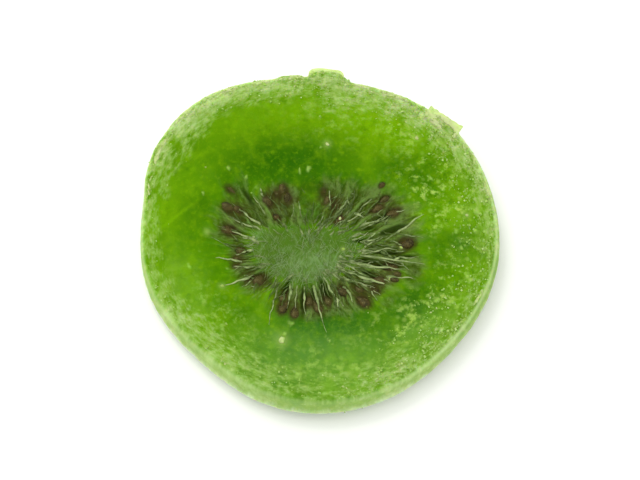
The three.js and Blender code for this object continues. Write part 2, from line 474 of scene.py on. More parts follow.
def face_relief(x, y, in_band, film, inward, fibre, core_distance):
    """What the fine skin adds to the solid's cut face, in millimetres, before seeds, gaps and clots."""
    felted = smoothstep(core_distance, 0.6, 4.0) * (1 - smoothstep(core_distance, 10.0, 17.0))
    here = Vector((x, y, 0))
    ridge = math.sin(math.tau * (inward / FLAKE_STEP + 0.9 * noise.noise(here * 0.3)))
    lifted = smoothstep(noise.noise(here * 0.25 + Vector((4, 4, 4))), -0.3, 0.2)
    flaky = FLAKE_HEIGHT * ridge * film * lifted
    return layered(here, SLACK) + felted * mix(in_band, 0.2, 1.0) * FIBRE_RELIEF * fibre + flaky


def creases(angle, up, ring, stretch, height):
    return height * noise.noise(Vector((math.cos(angle) * ring, math.sin(angle) * ring, up * stretch)))


def wall_relief(angle, up):
    """Creases that run up and down the wall, in millimetres."""
    return creases(angle, up, *WIDE_CREASES) + creases(angle, up, *FINE_CREASES)


# %% [markdown]
# ## The flesh
# The half outline of a plain disc is spun round into a closed skin with one operator. Only then is every
# point moved to its place on the slice, so that the rings run round the fruit and the columns run out
# from its core, which is how its fibres run.

# %% A plain disc by spinning its half outline
STEPS_ROUND = 480
UNDER_RINGS, WALL_RINGS, FACE_RINGS = 42, 24, 128
RING_CROWDING = 1.25


def disc_profile(bm):
    """Half outline of a disc of radius 1 and height 1: across is x, up is z."""
    corners = [bm.verts.new(p) for p in ((0, 0, 0), (FACE_EDGE, 0, 0), (FACE_EDGE, 0, 1), (0, 0, 1))]
    sides = [bm.edges.new(pair) for pair in zip(corners, corners[1:])]
    for side, rings in zip(sides, (UNDER_RINGS, WALL_RINGS, FACE_RINGS)):
        bmesh.ops.subdivide_edges(bm, edges=[side], cuts=rings - 1)
    for vert in bm.verts:
        if 0 < vert.co.z < 1:
            turn = math.pi * vert.co.z
            vert.co.x = FACE_EDGE + (1 - FACE_EDGE) * math.sin(turn)
            vert.co.z = (1 - math.cos(turn)) / 2
        else:
            inward = 1 - vert.co.x / FACE_EDGE
            vert.co.x = FACE_EDGE * (1 - inward ** RING_CROWDING)


def spun_disc():
    bm = bmesh.new()
    disc_profile(bm)
    bmesh.ops.spin(
        bm, geom=bm.verts[:] + bm.edges[:], cent=(0, 0, 0), axis=(0, 0, 1), dvec=(0, 0, 0),
        angle=math.tau, steps=STEPS_ROUND, use_merge=True, use_duplicate=False,
    )
    bmesh.ops.remove_doubles(bm, verts=bm.verts[:], dist=1e-6)
    bmesh.ops.recalc_face_normals(bm, faces=bm.faces[:])
    return bm


# %% [markdown]
# The rings' middle is pulled to the middle of the core, so that the columns leave it as fibres do. A point
# first goes to its place on the smooth form, and then outwards or inwards by its relief. What a material
# has to know there, such as how thick the film is or how near a seed lies, is stored on the point under a
# name, because a shader can't work it out.

# %% Move the disc's points to the slice's skin
# The first two tones are painted shade and painted light: the jelly darker where less light shines through
# it, and yellower where more does.
TONES = {"deep": PAINTED_SHADE, "glow": PAINTED_GLOW, "haze": HAZE, "pith": PITH, "dust": DUST}
LAYERS = (
    "film", "grit", "lip_highlight", "clots", "core", "band", "fibre", "stain", "shade", "gap", "side", "low", *TONES,
)
PULL_FROM = 0.9
UNDER_HOLLOW = 0.2
SCRAP_FILM, CLOT_HALO = 0.7, 0.7
FLARE, FLARE_AT, FLARE_HALF_WIDTH = 0.45, -100, 70
FLARE_UP, FLARE_HALF_HEIGHT = 0.27, 0.22
SEEDS_WITHIN = 0.85


def flare_at(up, angle):
    """How far the lower half of the wall spreads on the side where the slice sags."""
    around = hump(away_from(angle, FLARE_AT, FLARE_HALF_WIDTH))
    return FLARE * around * hump((up - FLARE_UP) / FLARE_HALF_HEIGHT)


def smooth_point(across, up, angle):
    """Where a point of the disc goes on the smooth form, before and after the form is centred."""
    reach, rise = scrap_at(across, up, angle)
    radius = across * outline(angle) + reach
    if 0 < up < 1:
        radius += flare_at(up, angle)
    pull = max(0.0, 1 - across / PULL_FROM) ** 2
    x = radius * math.cos(angle) + pull * (HEART.x + MIDDLE.x)
    y = radius * math.sin(angle) + pull * (HEART.y + MIDDLE.y)
    if pull > 0:
        angle = math.atan2(y, x)
        across = math.hypot(x, y) / outline(angle)
    low = underside_height(across, angle)
    high = face_height(x, y, min(across, FACE_EDGE), angle)
    here = Vector((x, y, low + (high - low) * up + rise)) - MIDDLE
    return (x, y), here, (across, angle), reach


def skin_point(across, up, angle):
    """Where a point of the disc goes, in millimetres, and the values that its material reads."""
    raw, here, (across, angle), reach = smooth_point(across, up, angle)
    in_band, _ = band_share(*raw)
    core = 1 - smoothstep(in_oval(CORE, *raw)[0], 0.7, 1.35)
    turn = math.acos(1 - 2 * clamp(up))
    outward = Vector((math.cos(angle) * math.sin(turn), math.sin(angle) * math.sin(turn), -math.cos(turn)))
    facing = abs(outward.z)
    film = max(film_at(here.x, here.y, across, angle), SCRAP_FILM * clamp(reach))
    grit = grit_at(here.x, here.y, across, angle, 1 - facing)
    felt, shade, gap = 0.0, 0.0, 0.0
    if across < SEEDS_WITHIN:
        felt, shade = seed_marks(here.x, here.y, TOP_SEEDS if up > 0.5 else UNDER_SEEDS)
        gap = patch_at(GAPS, here.x, here.y)
    banded = max(in_band * (1 - patch_at(OPENINGS, here.x, here.y)), patch_at(MURK, here.x, here.y))
    clots = clot_at(here.x, here.y, grit) * facing * (1 - core) * (1 - in_band)
    fibre, core_distance = fibre_at(here.x, here.y)
    relief = face_relief(here.x, here.y, in_band, film, (1 - across) * outline(angle), fibre, core_distance)
    relief += CLOT_HEIGHT * clots - GAP_DEPTH * gap - POCKET_DEPTH * felt
    # The skin turns pale round each listed clot; round the rows that stand for glints this is painted
    # highlight.
    halo = max(hump(math.dist((here.x, here.y), clot[:2]) / clot[2]) for clot in CLOTS_AND_GLINTS)
    clots = max(clots, CLOT_HALO * facing * halo)
    relief = relief * facing + wall_relief(angle, up) * (1 - facing)
    here += (relief + film * mix(facing, 0.8, 1.0) * layered(here, CRUST_LUMPS)) * outward
    if up < 0.5:
        here.z += facing * in_band * UNDER_HOLLOW
    here.z = max(here.z, 0.0)
    values = {
        "film": film, "grit": grit, "lip_highlight": lip_highlight_at(across, up, angle), "clots": clots, "core": core,
        "band": banded, "fibre": fibre, "stain": felt, "shade": shade * mix(in_band, 0.25, 1.0), "gap": gap,
        "side": 1 - facing ** (3 if up < 0.5 else 1), "low": clamp(1 - up),
    }
    values.update((name, patch_at(patches, here.x, here.y)) for name, patches in TONES.items())
    return here * MM, values


# %% Make the flesh


def to_object(bm, name, smooth=True):
    """A finished piece from a bmesh, at the origin, riding on the slice's one body."""
    mesh = bpy.data.meshes.new(name)
    for face in bm.faces:
        face.smooth = smooth
    bm.to_mesh(mesh)
    bm.free()
    piece = bpy.data.objects.new(name, mesh)
    bpy.context.scene.collection.objects.link(piece)
    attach(piece, "root")
    print(name, "has", sum(len(p.vertices) - 2 for p in mesh.polygons), "triangles")
    return piece


def make_flesh():
    bm = spun_disc()
    layers = [bm.verts.layers.float.new(name) for name in LAYERS]
    for vert in bm.verts:
        across, up = math.hypot(vert.co.x, vert.co.y), vert.co.z
        vert.co, values = skin_point(across, up, math.atan2(vert.co.y, vert.co.x))
        for layer, name in zip(layers, LAYERS):
            vert[layer] = values[name]
    bm.normal_update()
    return to_object(bm, "flesh")


flesh = make_flesh()
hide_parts(NODE)

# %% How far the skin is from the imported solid


def gap_to_solid():
    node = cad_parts[NODE]
    solid = BVHTree.FromPolygons(
        [v.co for v in node.data.vertices], [list(p.vertices) for p in node.data.polygons])
    gaps = [solid.find_nearest(v.co)[3] / MM for v in list(flesh.data.vertices)[::17]]
    return sum(gaps) / len(gaps), max(gaps)


print("skin to packed solid, mean and largest gap, mm: %.3f %.3f" % gap_to_solid())

# %% [markdown]
# ## Materials
# Every finish is made of noise that is read in the object's own coordinates, and of the values that were
# stored on the points. One helper sets up a node and links what feeds it, so that each finish reads as a
# list of steps.

# %% Helpers for shader nodes


def add_node(tree, kind, inputs=None, **settings):
    """A new node, with its settings made and its inputs linked or filled in."""
    made = tree.nodes.new(kind)
    for name, value in settings.items():
        setattr(made, name, value)
    for socket, value in (inputs or {}).items():
        if isinstance(value, bpy.types.NodeSocket):
            tree.links.new(value, made.inputs[socket])
        else:
            made.inputs[socket].default_value = value
    return made


def maths(tree, operation, *values, clamped=False):
    made = add_node(tree, "ShaderNodeMath", dict(enumerate(values)), operation=operation, use_clamp=clamped)
    return made.outputs[0]


def vector_maths(tree, operation, *values):
    return add_node(
        tree, "ShaderNodeVectorMath", dict(enumerate(values)), operation=operation,
    ).outputs["Vector"]


def length_of(tree, vector):
    return add_node(tree, "ShaderNodeVectorMath", {0: vector}, operation="LENGTH").outputs["Value"]


def times(tree, value, share):
    return maths(tree, "MULTIPLY", value, share)


def plus(tree, value, other, share):
    """value, and a share of the other on top."""
    return maths(tree, "MULTIPLY_ADD", other, share, value)


def ramp(tree, value, start, end, low=0.0, high=1.0):
    """low where value is at start, high at end, and a soft S between them."""
    made = add_node(
        tree, "ShaderNodeMapRange", {0: value, 1: start, 2: end, 3: low, 4: high},
        interpolation_type="SMOOTHSTEP",
    )
    return made.outputs[0]


def blend(tree, share, low, high):
    """Colour low where share is 0, colour high where it is 1."""
    return add_node(tree, "ShaderNodeMix", {0: share, 6: low, 7: high}, data_type="RGBA").outputs[2]


def object_place(tree):
    return add_node(tree, "ShaderNodeTexCoord").outputs["Object"]


def grain(tree, scale, detail=3.0, rough=0.55, vector=None):
    """Noise with scale features to a millimetre, in object coordinates unless a vector is given."""
    place = vector or object_place(tree)
    inputs = {"Vector": place, "Scale": scale / MM, "Detail": detail, "Roughness": rough}
    return add_node(tree, "ShaderNodeTexNoise", inputs).outputs["Fac"]


def stored(tree, name):
    return add_node(tree, "ShaderNodeAttribute", attribute_name=name).outputs["Fac"]


def srgb(red, green, blue):
    """A colour from its usual 0 to 255 values, as the light values that a shader works in."""
    def light(value):
        share = value / 255
        return share / 12.92 if share <= 0.04045 else ((share + 0.055) / 1.055) ** 2.4
    return (light(red), light(green), light(blue), 1.0)


def new_material(name):
    material = bpy.data.materials.new(name)
    material.use_nodes = True
    material.node_tree.nodes.clear()
    return material, material.node_tree


def finish_material(tree, inputs):
    shader = add_node(tree, "ShaderNodeBsdfPrincipled", inputs)
    add_node(tree, "ShaderNodeOutputMaterial", {"Surface": shader.outputs[0]})
    print("a finish of", len(tree.nodes), "nodes")


def bumped(tree, height, depth):
    """A normal from a height of 0 to 1 that stands for depth in millimetres."""
    return add_node(tree, "ShaderNodeBump", {"Distance": depth * MM, "Height": height}).outputs[0]


# %% [markdown]
# ### Sugar frost
# Frost is a film of fine sugar with coarser crystals on top. It is on the flesh and on the crust flakes,
# so it is a node group: the amounts of film and of grit come in, and their masks and a height come out.
# Broad noise breaks the film into patches, and fine noise breaks the grit into crystals. Syrup dries in
# runs along the edge, so this noise is drawn out round the slice.

# %% The frost group
FROST_AROUND, FROST_INWARD = 22, 1.9


def rim_vector(tree):
    """Coordinates in which noise turns into streaks that run round the slice."""
    place = object_place(tree)
    flat = vector_maths(tree, "MULTIPLY", place, (1, 1, 0))
    height = add_node(tree, "ShaderNodeSeparateXYZ", {0: place}).outputs[2]
    far = plus(tree, height, length_of(tree, flat), FROST_INWARD)
    lifted = add_node(tree, "ShaderNodeCombineXYZ", {2: far}).outputs[0]
    around = (FROST_AROUND * MM, FROST_AROUND * MM, 0)
    return vector_maths(tree, "MULTIPLY_ADD", vector_maths(tree, "NORMALIZE", flat), around, lifted)


def frost_group():
    tree = bpy.data.node_groups.new("sugar frost", "ShaderNodeTree")
    for name in ("Film", "Grit"):
        tree.interface.new_socket(name, in_out="INPUT", socket_type="NodeSocketFloat")
    for name in ("Film Mask", "Grit Mask", "Height"):
        tree.interface.new_socket(name, in_out="OUTPUT", socket_type="NodeSocketFloat")
    film, grit = tree.nodes.new("NodeGroupInput").outputs[:2]
    along_rim = rim_vector(tree)
    patches = grain(tree, 0.3, 4, 0.6, along_rim)
    flecks = grain(tree, 0.8, 3, 0.6, along_rim)
    crystals = grain(tree, 2.2, 2, 0.6, along_rim)
    uneven = plus(tree, plus(tree, -1.9, flecks, 2.5), patches, 1.3)
    uneven = plus(tree, maths(tree, "SUBTRACT", uneven, 0.35), crystals, 0.7)
    present = times(tree, ramp(tree, film, 0.0, 0.3), ramp(tree, grit, 0.1, 0.6, 0.6, 1.0))
    film_mask = maths(tree, "MULTIPLY_ADD", uneven, present, film, clamped=True)
    blotches = times(tree, ramp(tree, grain(tree, 0.9, 4, 0.65), 0.5, 0.7), ramp(tree, grit, 0.0, 0.3))
    film_mask = maths(tree, "MULTIPLY_ADD", blotches, 0.42, film_mask, clamped=True)
    strewn = plus(tree, plus(tree, crystals, flecks, 0.6), grit, 0.3)
    grit_mask = times(tree, ramp(tree, strewn, 0.95, 1.2), ramp(tree, grit, 0.0, 0.25))
    height = plus(tree, times(tree, film_mask, flecks), grit_mask, 0.6)
    out = tree.nodes.new("NodeGroupOutput")
    for socket, value in enumerate((film_mask, grit_mask, height)):
        tree.links.new(value, out.inputs[socket])
    return tree


FROST = frost_group()
print("sugar frost is a group of", len(FROST.nodes), "nodes")


def frosted(tree, film, grit):
    """The masks of film and grit, and their height."""
    return add_node(tree, "ShaderNodeGroup", {0: film, 1: grit}, node_tree=FROST).outputs[:3]


# %% [markdown]
# ### Mottle
# Nothing that grew or dried is of one tone. Seeds, threads, hairs, crust and sugar all vary a little at
# two sizes, so this is a group too, with the size as its input.

# %% The mottle group
FINER = 4.7


def mottle_group():
    tree = bpy.data.node_groups.new("mottle", "ShaderNodeTree")
    tree.interface.new_socket("Scale", in_out="INPUT", socket_type="NodeSocketFloat")
    tree.interface.new_socket("Mask", in_out="OUTPUT", socket_type="NodeSocketFloat")
    scale = tree.nodes.new("NodeGroupInput").outputs[0]
    place = object_place(tree)
    broad = add_node(tree, "ShaderNodeTexNoise", {"Vector": place, "Scale": scale, "Detail": 3.0})
    finer = times(tree, scale, FINER)
    fine = add_node(tree, "ShaderNodeTexNoise", {"Vector": place, "Scale": finer})
    both = plus(tree, broad.outputs["Fac"], fine.outputs["Fac"], 0.35)
    out = tree.nodes.new("NodeGroupOutput")
    tree.links.new(ramp(tree, both, 0.5, 0.85), out.inputs[0])
    return tree


MOTTLE = mottle_group()
print("mottle is a group of", len(MOTTLE.nodes), "nodes")


def mottled(tree, scale):
    """A mask of soft blotches, scale of them to a millimetre."""
    return add_node(tree, "ShaderNodeGroup", {0: scale / MM}, node_tree=MOTTLE).outputs[0]


# %% [markdown]
# ### Candied flesh
# The jelly is a deep yellow-green, and light sinks into it. It is darkened in patches by painted shade,
# where less light shines through it, and made yellower in others by painted light, where more does. The
# core is greyer, with fibres that run outwards, and the chambers between the fibres are nearly black. The
# values stored on the points say where core, band, seed stains, film and grit are.

# %% Colours of the flesh
JELLY_LIGHT = srgb(96, 147, 1)
JELLY_MID = srgb(74, 126, 0)
# The deep green below also serves as painted shade, the glow colour is painted light, and the speck colour
# paints the skin's tiny highlights.
JELLY_DEEP_AND_SHADE = srgb(34, 92, 0)
JELLY_PAINTED_GLOW = srgb(124, 174, 2)
JELLY_SPECK_HIGHLIGHT = srgb(128, 172, 8)
JELLY_HAZE = srgb(150, 190, 134)
JELLY_DUST = srgb(178, 206, 98)
CORE_PALE = srgb(114, 144, 84)
CORE_GREEN = srgb(76, 112, 26)
CHAMBER_DARK = srgb(48, 60, 9)
CHAMBER_PALE = srgb(102, 124, 62)
# The gap colour is painted shade.
GAP_PAINTED_SHADE = srgb(30, 46, 4)
SHADE_BROWN = srgb(66, 64, 26)
STAIN_DARK = srgb(54, 44, 20)
FILM_THIN = srgb(128, 168, 38)
FILM_PALE = srgb(190, 211, 143)
# The clot colour is also painted highlight, round the lumps that stand for glints.
CLOT_AND_GLINT_PALE = srgb(176, 204, 108)
GRIT_PALE = srgb(192, 216, 140)
# The lip colour is a painted highlight along the rim's edge.
LIP_PAINTED_HIGHLIGHT = srgb(194, 218, 150)
# The wall colour is partly sugar frost and partly painted light, and the foot colour is painted light.
WALL_FROST_AND_LIGHT = srgb(158, 188, 104)
WALL_FOOT_PAINTED_LIGHT = srgb(226, 240, 200)


# %% The flesh's own patterns
WAVES, WAVE_SWING, FIBRE_STRETCH = 0.45, 0.16, 18.0


def fibre_vector(tree):
    """Coordinates in which noise turns into wavy fibres that leave the core's mid-line."""
    place = object_place(tree)
    split = add_node(tree, "ShaderNodeSeparateXYZ", {0: vector_maths(tree, "SUBTRACT", place, HEART * MM)})
    half = HEART_HALF * MM
    along_core = maths(tree, "MAXIMUM", maths(tree, "MINIMUM", split.outputs[0], half), -half)
    aside = plus(tree, split.outputs[0], along_core, MID_LINE_PULL - 1)
    flat = add_node(tree, "ShaderNodeCombineXYZ", {0: aside, 1: split.outputs[1]}).outputs[0]
    ray = vector_maths(tree, "NORMALIZE", flat)
    wave = add_node(tree, "ShaderNodeTexNoise", {"Vector": place, "Scale": WAVES / MM, "Detail": 2.0})
    waving = (WAVE_SWING, WAVE_SWING, 0)
    bent = vector_maths(tree, "MULTIPLY_ADD", wave.outputs["Color"], waving, ray)
    turned = add_node(tree, "ShaderNodeSeparateXYZ", {0: bent}).outputs
    far = times(tree, length_of(tree, flat), FIBRE_STRETCH)
    return add_node(tree, "ShaderNodeCombineXYZ", {0: turned[0], 1: turned[1], 2: far}).outputs[0]


def brushed(tree, heading, scale, long):
    """Noise in strokes that point the given way in degrees, each long times as long as it is wide."""
    turn = (0, 0, -math.radians(heading))
    turned = add_node(tree, "ShaderNodeMapping", {"Vector": object_place(tree), "Rotation": turn})
    inputs = {"Vector": turned.outputs[0], "Scale": (1 / long, 1, 1)}
    return grain(tree, scale, 3, 0.6, add_node(tree, "ShaderNodeMapping", inputs).outputs[0])


def runs_down_the_wall(tree):
    """Noise that is drawn out from the upper edge of the wall to its foot."""
    drawn_up = add_node(tree, "ShaderNodeMapping", {"Vector": object_place(tree), "Scale": (1, 1, 0.2)})
    return grain(tree, 0.7, 4, 0.65, drawn_up.outputs[0])


def soft_specks(tree, scale, reach, share):
    """A mask of round soft dots, of which only a share of the cells has one."""
    cells = add_node(tree, "ShaderNodeTexVoronoi", {"Vector": object_place(tree), "Scale": scale / MM})
    luck = add_node(tree, "ShaderNodeSeparateColor", {0: cells.outputs["Color"]}).outputs[0]
    lucky = ramp(tree, luck, 1 - share, 1.1 - share)
    return times(tree, ramp(tree, cells.outputs["Distance"], reach, 0.3 * reach), lucky)


# %% How the flesh's colour is built up


def dusted(tree, jelly):
    """Clumps of dust on the jelly, and deeper hollows between them, where dust is stored."""
    dust = stored(tree, "dust")
    hollow = times(tree, ramp(tree, grain(tree, 0.7, 4, 0.66), 0.48, 0.34, 0.0, 0.5), dust)
    jelly = blend(tree, hollow, jelly, JELLY_DEEP_AND_SHADE)
    clumped = plus(tree, grain(tree, 0.95, 4, 0.66), grain(tree, 0.35, 2), 0.6)
    specks = times(tree, soft_specks(tree, 0.95, 0.5, 0.4), 0.36)
    clumps = maths(tree, "MAXIMUM", ramp(tree, clumped, 0.8, 1.02, 0.0, 0.85), specks)
    return blend(tree, times(tree, clumps, dust), jelly, JELLY_DUST)


def jelly_colour(tree):
    cloud = ramp(tree, plus(tree, grain(tree, 0.08), grain(tree, 0.4, 3, 0.6), 0.35), 0.52, 0.82)
    jelly = blend(tree, cloud, JELLY_MID, JELLY_LIGHT)
    # Painted light in the glow patches and painted shade in the dark patches, where more or less light
    # shines through the jelly.
    jelly = blend(tree, times(tree, stored(tree, "glow"), 0.75), jelly, JELLY_PAINTED_GLOW)
    jelly = blend(tree, times(tree, stored(tree, "deep"), 0.95), jelly, JELLY_DEEP_AND_SHADE)
    # Pale specks here are painted highlights: the tiny glints of the jelly's pebbly skin.
    jelly = blend(tree, ramp(tree, grain(tree, 0.5, 3, 0.6), 0.45, 0.75, 0.0, 0.3), jelly, JELLY_SPECK_HIGHLIGHT)
    jelly = blend(tree, ramp(tree, grain(tree, 1.7, 4, 0.7), 0.48, 0.78, 0.0, 0.36), jelly, JELLY_SPECK_HIGHLIGHT)
    jelly = blend(tree, ramp(tree, grain(tree, 0.45, 4, 0.65), 0.46, 0.25, 0.0, 0.4), jelly, JELLY_DEEP_AND_SHADE)
    jelly = blend(tree, times(tree, soft_specks(tree, 0.85, 0.4, 0.2), 0.3), jelly, JELLY_SPECK_HIGHLIGHT)
    wisps = plus(tree, stored(tree, "haze"), grain(tree, 0.55, 4, 0.7), 0.9)
    jelly = blend(tree, ramp(tree, wisps, 0.5, 1.6, 0.0, 0.11), jelly, JELLY_HAZE)
    return dusted(tree, jelly)


def inner_colour(tree, fine, wide, wool):
    """The jelly, with the band of chambers, the core and the stains round the seeds on it."""
    fibre = stored(tree, "fibre")
    moss = grain(tree, 1.5, 4, 0.7)
    strands = ramp(tree, plus(tree, plus(tree, fine, fibre, 0.2), moss, 0.7), 0.62, 1.12)
    chamber = blend(tree, strands, CHAMBER_DARK, CHAMBER_PALE)
    band = ramp(tree, plus(tree, plus(tree, stored(tree, "band"), wide, 0.6), fibre, 0.2), 0.52, 1.26)
    colour = blend(tree, times(tree, band, 0.88), jelly_colour(tree), chamber)
    shade = ramp(tree, plus(tree, stored(tree, "shade"), strands, -0.55), 0.08, 0.8)
    colour = blend(tree, times(tree, shade, 0.7), colour, SHADE_BROWN)
    woolly = plus(tree, times(tree, stored(tree, "pith"), 0.75), grain(tree, 0.7, 3, 0.6), 1.5)
    pith = ramp(tree, plus(tree, woolly, ramp(tree, wool, 0.46, 0.7), 0.8), 0.9, 2.35)
    core = ramp(tree, plus(tree, stored(tree, "core"), fibre, 0.25), 0.15, 0.85)
    colour = blend(tree, core, colour, blend(tree, pith, CORE_GREEN, CORE_PALE))
    # Gaps are painted nearly black: painted shade inside chambers that gape without a seed.
    gap = ramp(tree, plus(tree, stored(tree, "gap"), fine, 0.5), 0.45, 1.0, 0.0, 0.9)
    colour = blend(tree, gap, colour, GAP_PAINTED_SHADE)
    stain = ramp(tree, plus(tree, stored(tree, "stain"), fine, 0.7), 0.62, 1.15)
    return blend(tree, times(tree, stain, 0.88), colour, STAIN_DARK)


def sugared(tree, colour, film_mask, grit_mask):
    """The wall, pale with sugar and painted light, and on top film, clots, a few painted glints, grit, a
    painted highlight along the rim's edge and painted light at the wall's foot.
    """
    # The wall is paler partly with sugar and partly with painted light, its foot is painted lighter where
    # light comes through the slice and off the floor, and the line along the rim's edge is a painted
    # highlight.
    on_wall = ramp(tree, stored(tree, "side"), 0.2, 0.9)
    foot = plus(tree, stored(tree, "low"), runs_down_the_wall(tree), 0.8)
    foot = ramp(tree, foot, 0.76, 1.3, 0.0, 0.66)
    colour = blend(tree, times(tree, on_wall, 0.6), colour, WALL_FROST_AND_LIGHT)
    colour = blend(tree, ramp(tree, film_mask, 0.0, 0.5, 0.0, 0.5), colour, FILM_THIN)
    colour = blend(tree, ramp(tree, film_mask, 0.1, 1.2, 0.0, 0.85), colour, FILM_PALE)
    colour = blend(tree, times(tree, stored(tree, "clots"), 0.5), colour, CLOT_AND_GLINT_PALE)
    colour = blend(tree, times(tree, stored(tree, "lip_highlight"), 0.85), colour, LIP_PAINTED_HIGHLIGHT)
    colour = blend(tree, times(tree, on_wall, foot), colour, WALL_FOOT_PAINTED_LIGHT)
    return blend(tree, times(tree, grit_mask, 0.45), colour, GRIT_PALE)


# %% The flesh material


def flesh_material():
    material, tree = new_material("candied flesh")
    fibres = fibre_vector(tree)
    fine = grain(tree, 34 * MM, 5, 0.65, fibres)
    wide = grain(tree, 9 * MM, 3, 0.6, fibres)
    wool = maths(tree, "MAXIMUM", brushed(tree, 66, 2.3, 4), brushed(tree, 118, 2.0, 4))
    film_mask, grit_mask, frost_height = frosted(tree, stored(tree, "film"), stored(tree, "grit"))
    pores = grain(tree, 2.4, 4, 0.6)
    core, band = stored(tree, "core"), stored(tree, "band")
    skin = plus(tree, frost_height, pores, 0.5)
    skin = plus(tree, skin, times(tree, fine, band), 1.2)
    skin = plus(tree, skin, times(tree, wool, core), 1.4)
    matte = plus(tree, plus(tree, 0.34, pores, 0.2), film_mask, 0.3)
    finish_material(tree, {
        "Base Color": sugared(tree, inner_colour(tree, fine, wide, wool), film_mask, grit_mask),
        "Roughness": plus(tree, matte, maths(tree, "MAXIMUM", core, band), 0.2),
        "Normal": bumped(tree, skin, 0.14),
        "Subsurface Weight": 0.8,
        "Subsurface Radius": (0.4, 1.0, 0.1),
        "Subsurface Scale": 1.6 * MM,
        "Specular IOR Level": 0.08,
        "Specular Tint": (0.55, 1.0, 0.12, 1.0),
    })
    return material


flesh.data.materials.append(flesh_material())

# %% [markdown]
# ## Many small things
# Seeds, threads, hairs and grains are each one piece made of many small shapes. One small shape is made
# with an operator and doubled until there are enough, which is quick. Then each copy is bent and moved
# to its own place by a function of the copy's own points.

# %% Helpers for scattered shapes
REACH_STEP, FAR_APART = 0.1, 900


def copies(bm, count):
    """Doubles what the bmesh holds until there are count copies, and returns the vertices of each."""
    size = len(bm.verts)
    while len(bm.verts) < count * size:
        bmesh.ops.duplicate(bm, geom=bm.verts[:] + bm.edges[:] + bm.faces[:])
    verts = bm.verts[:]
    groups = [verts[i:i + size] for i in range(0, len(verts), size)]
    bmesh.ops.delete(bm, geom=[v for group in groups[count:] for v in group], context="VERTS")
    return groups[:count]


def level(x, y, above):
    """Height of the smooth cut face, above or below, without its pockets and fibres, in millimetres."""
    raw_x, raw_y = x + MIDDLE.x, y + MIDDLE.y
    angle = math.atan2(raw_y, raw_x)
    across = math.hypot(raw_x, raw_y) / outline(angle)
    if above:
        return face_height(raw_x, raw_y, min(across, FACE_EDGE), angle)
    return underside_height(across, angle) + UNDER_HOLLOW * band_share(raw_x, raw_y)[0]


def reach_of(oval, bearing):
    """Distance from the core's middle at which a bearing in degrees crosses the oval's edge."""
    distance = 0.0
    while distance < MEAN_RADIUS:
        spot = from_heart(bearing, distance) + MIDDLE
        if in_oval(oval, spot.x, spot.y)[0] > 1:
            break
        distance += REACH_STEP
    return distance


def tone_layer(bm):
    return bm.verts.layers.float.new("tone")


def own_noise(chance):
    """A far-off place in the noise, so that each small shape has noise of its own."""
    return chance.uniform(0, FAR_APART)


print("the core and the band reach, straight up, mm: %.1f %.1f" % (reach_of(CORE, 90), reach_of(BAND, 90)))


# %% [markdown]
# ## Seeds
# A kiwi seed is a flat drop, black-brown with a faint net of ridges, its point towards the core. With the
# dark sac that clings to it, a seed of the usual size is 2.6 mm long. The jelly covers some of them: the
# deeper one lies, the lower it sits and the greener it looks. A round ball is stretched into the drop.

# %% Make the seeds
SEED_LONG, SEED_WIDE, SEED_THICK = 2.6, 1.75, 1.05
SEED_PROUD, SEED_DROWNED, UNDER_PROUD = 0.26, -0.08, 0.05
SEED_YAW, SEED_PITCH, SEED_ROLL = 0.16, 0.12, 0.3
SEED_STRETCH = (0.85, 1.12)
POINT_WIDTH, RIDGE_HEIGHT = 0.42, 0.04


def seed_frame(spot, turn, depth, size, above, chance):
    """Place, turn and share of the usual length of one seed, whose point is at its own -x."""
    proud = mix(depth, SEED_PROUD, SEED_DROWNED) if above else UNDER_PROUD * (1 - depth)
    half_thick = SEED_THICK / 2 * size
    side = 1 if above else -1
    z = level(spot.x, spot.y, above) - side * (half_thick - proud)
    pitch = Matrix.Rotation(chance.gauss(0, SEED_PITCH), 3, "Y")
    roll = Matrix.Rotation(chance.gauss(0, SEED_ROLL), 3, "X")
    yaw = Matrix.Rotation(turn + chance.gauss(0, SEED_YAW), 3, "Z")
    return Vector((spot.x, spot.y, z)), yaw @ (pitch @ roll), chance.uniform(*SEED_STRETCH)


def drop_point(co):
    """A point of the unit ball, moved to a flat drop with its point at -x."""
    taper = mix(smoothstep(co.x, -1.0, 0.35), POINT_WIDTH, 1.0)
    ridges = 1 + RIDGE_HEIGHT * noise.noise(co * 3.1)
    return Vector((co.x * SEED_LONG, co.y * SEED_WIDE * taper, co.z * SEED_THICK * taper)) * 0.5 * ridges


def make_seeds():
    chance = random.Random(5)
    rows = [(*row, True) for row in TOP_SEEDS] + [(*row, False) for row in UNDER_SEEDS]
    bm = bmesh.new()
    bmesh.ops.create_icosphere(bm, subdivisions=3, radius=1)
    tone = tone_layer(bm)
    lengths = []
    for group, (spot, turn, depth, size, above) in zip(copies(bm, len(rows)), rows):
        middle, turned, long_share = seed_frame(spot, turn, depth, size, above, chance)
        lengths.append(SEED_LONG * size * long_share)
        for vert in group:
            drop = drop_point(vert.co) * size
            drop.x *= long_share
            vert[tone] = depth
            vert.co = (middle + turned @ drop) * MM
    print("shortest, mean and longest seed, mm: %.1f %.1f %.1f" % (
        min(lengths), sum(lengths) / len(lengths), max(lengths)))
    return to_object(bm, "seeds")


seeds = make_seeds()

# %% The seed material
SEED_DARK = srgb(22, 18, 5)
SEED_BROWN = srgb(66, 55, 20)
SEED_UNDER_JELLY = srgb(62, 62, 24)


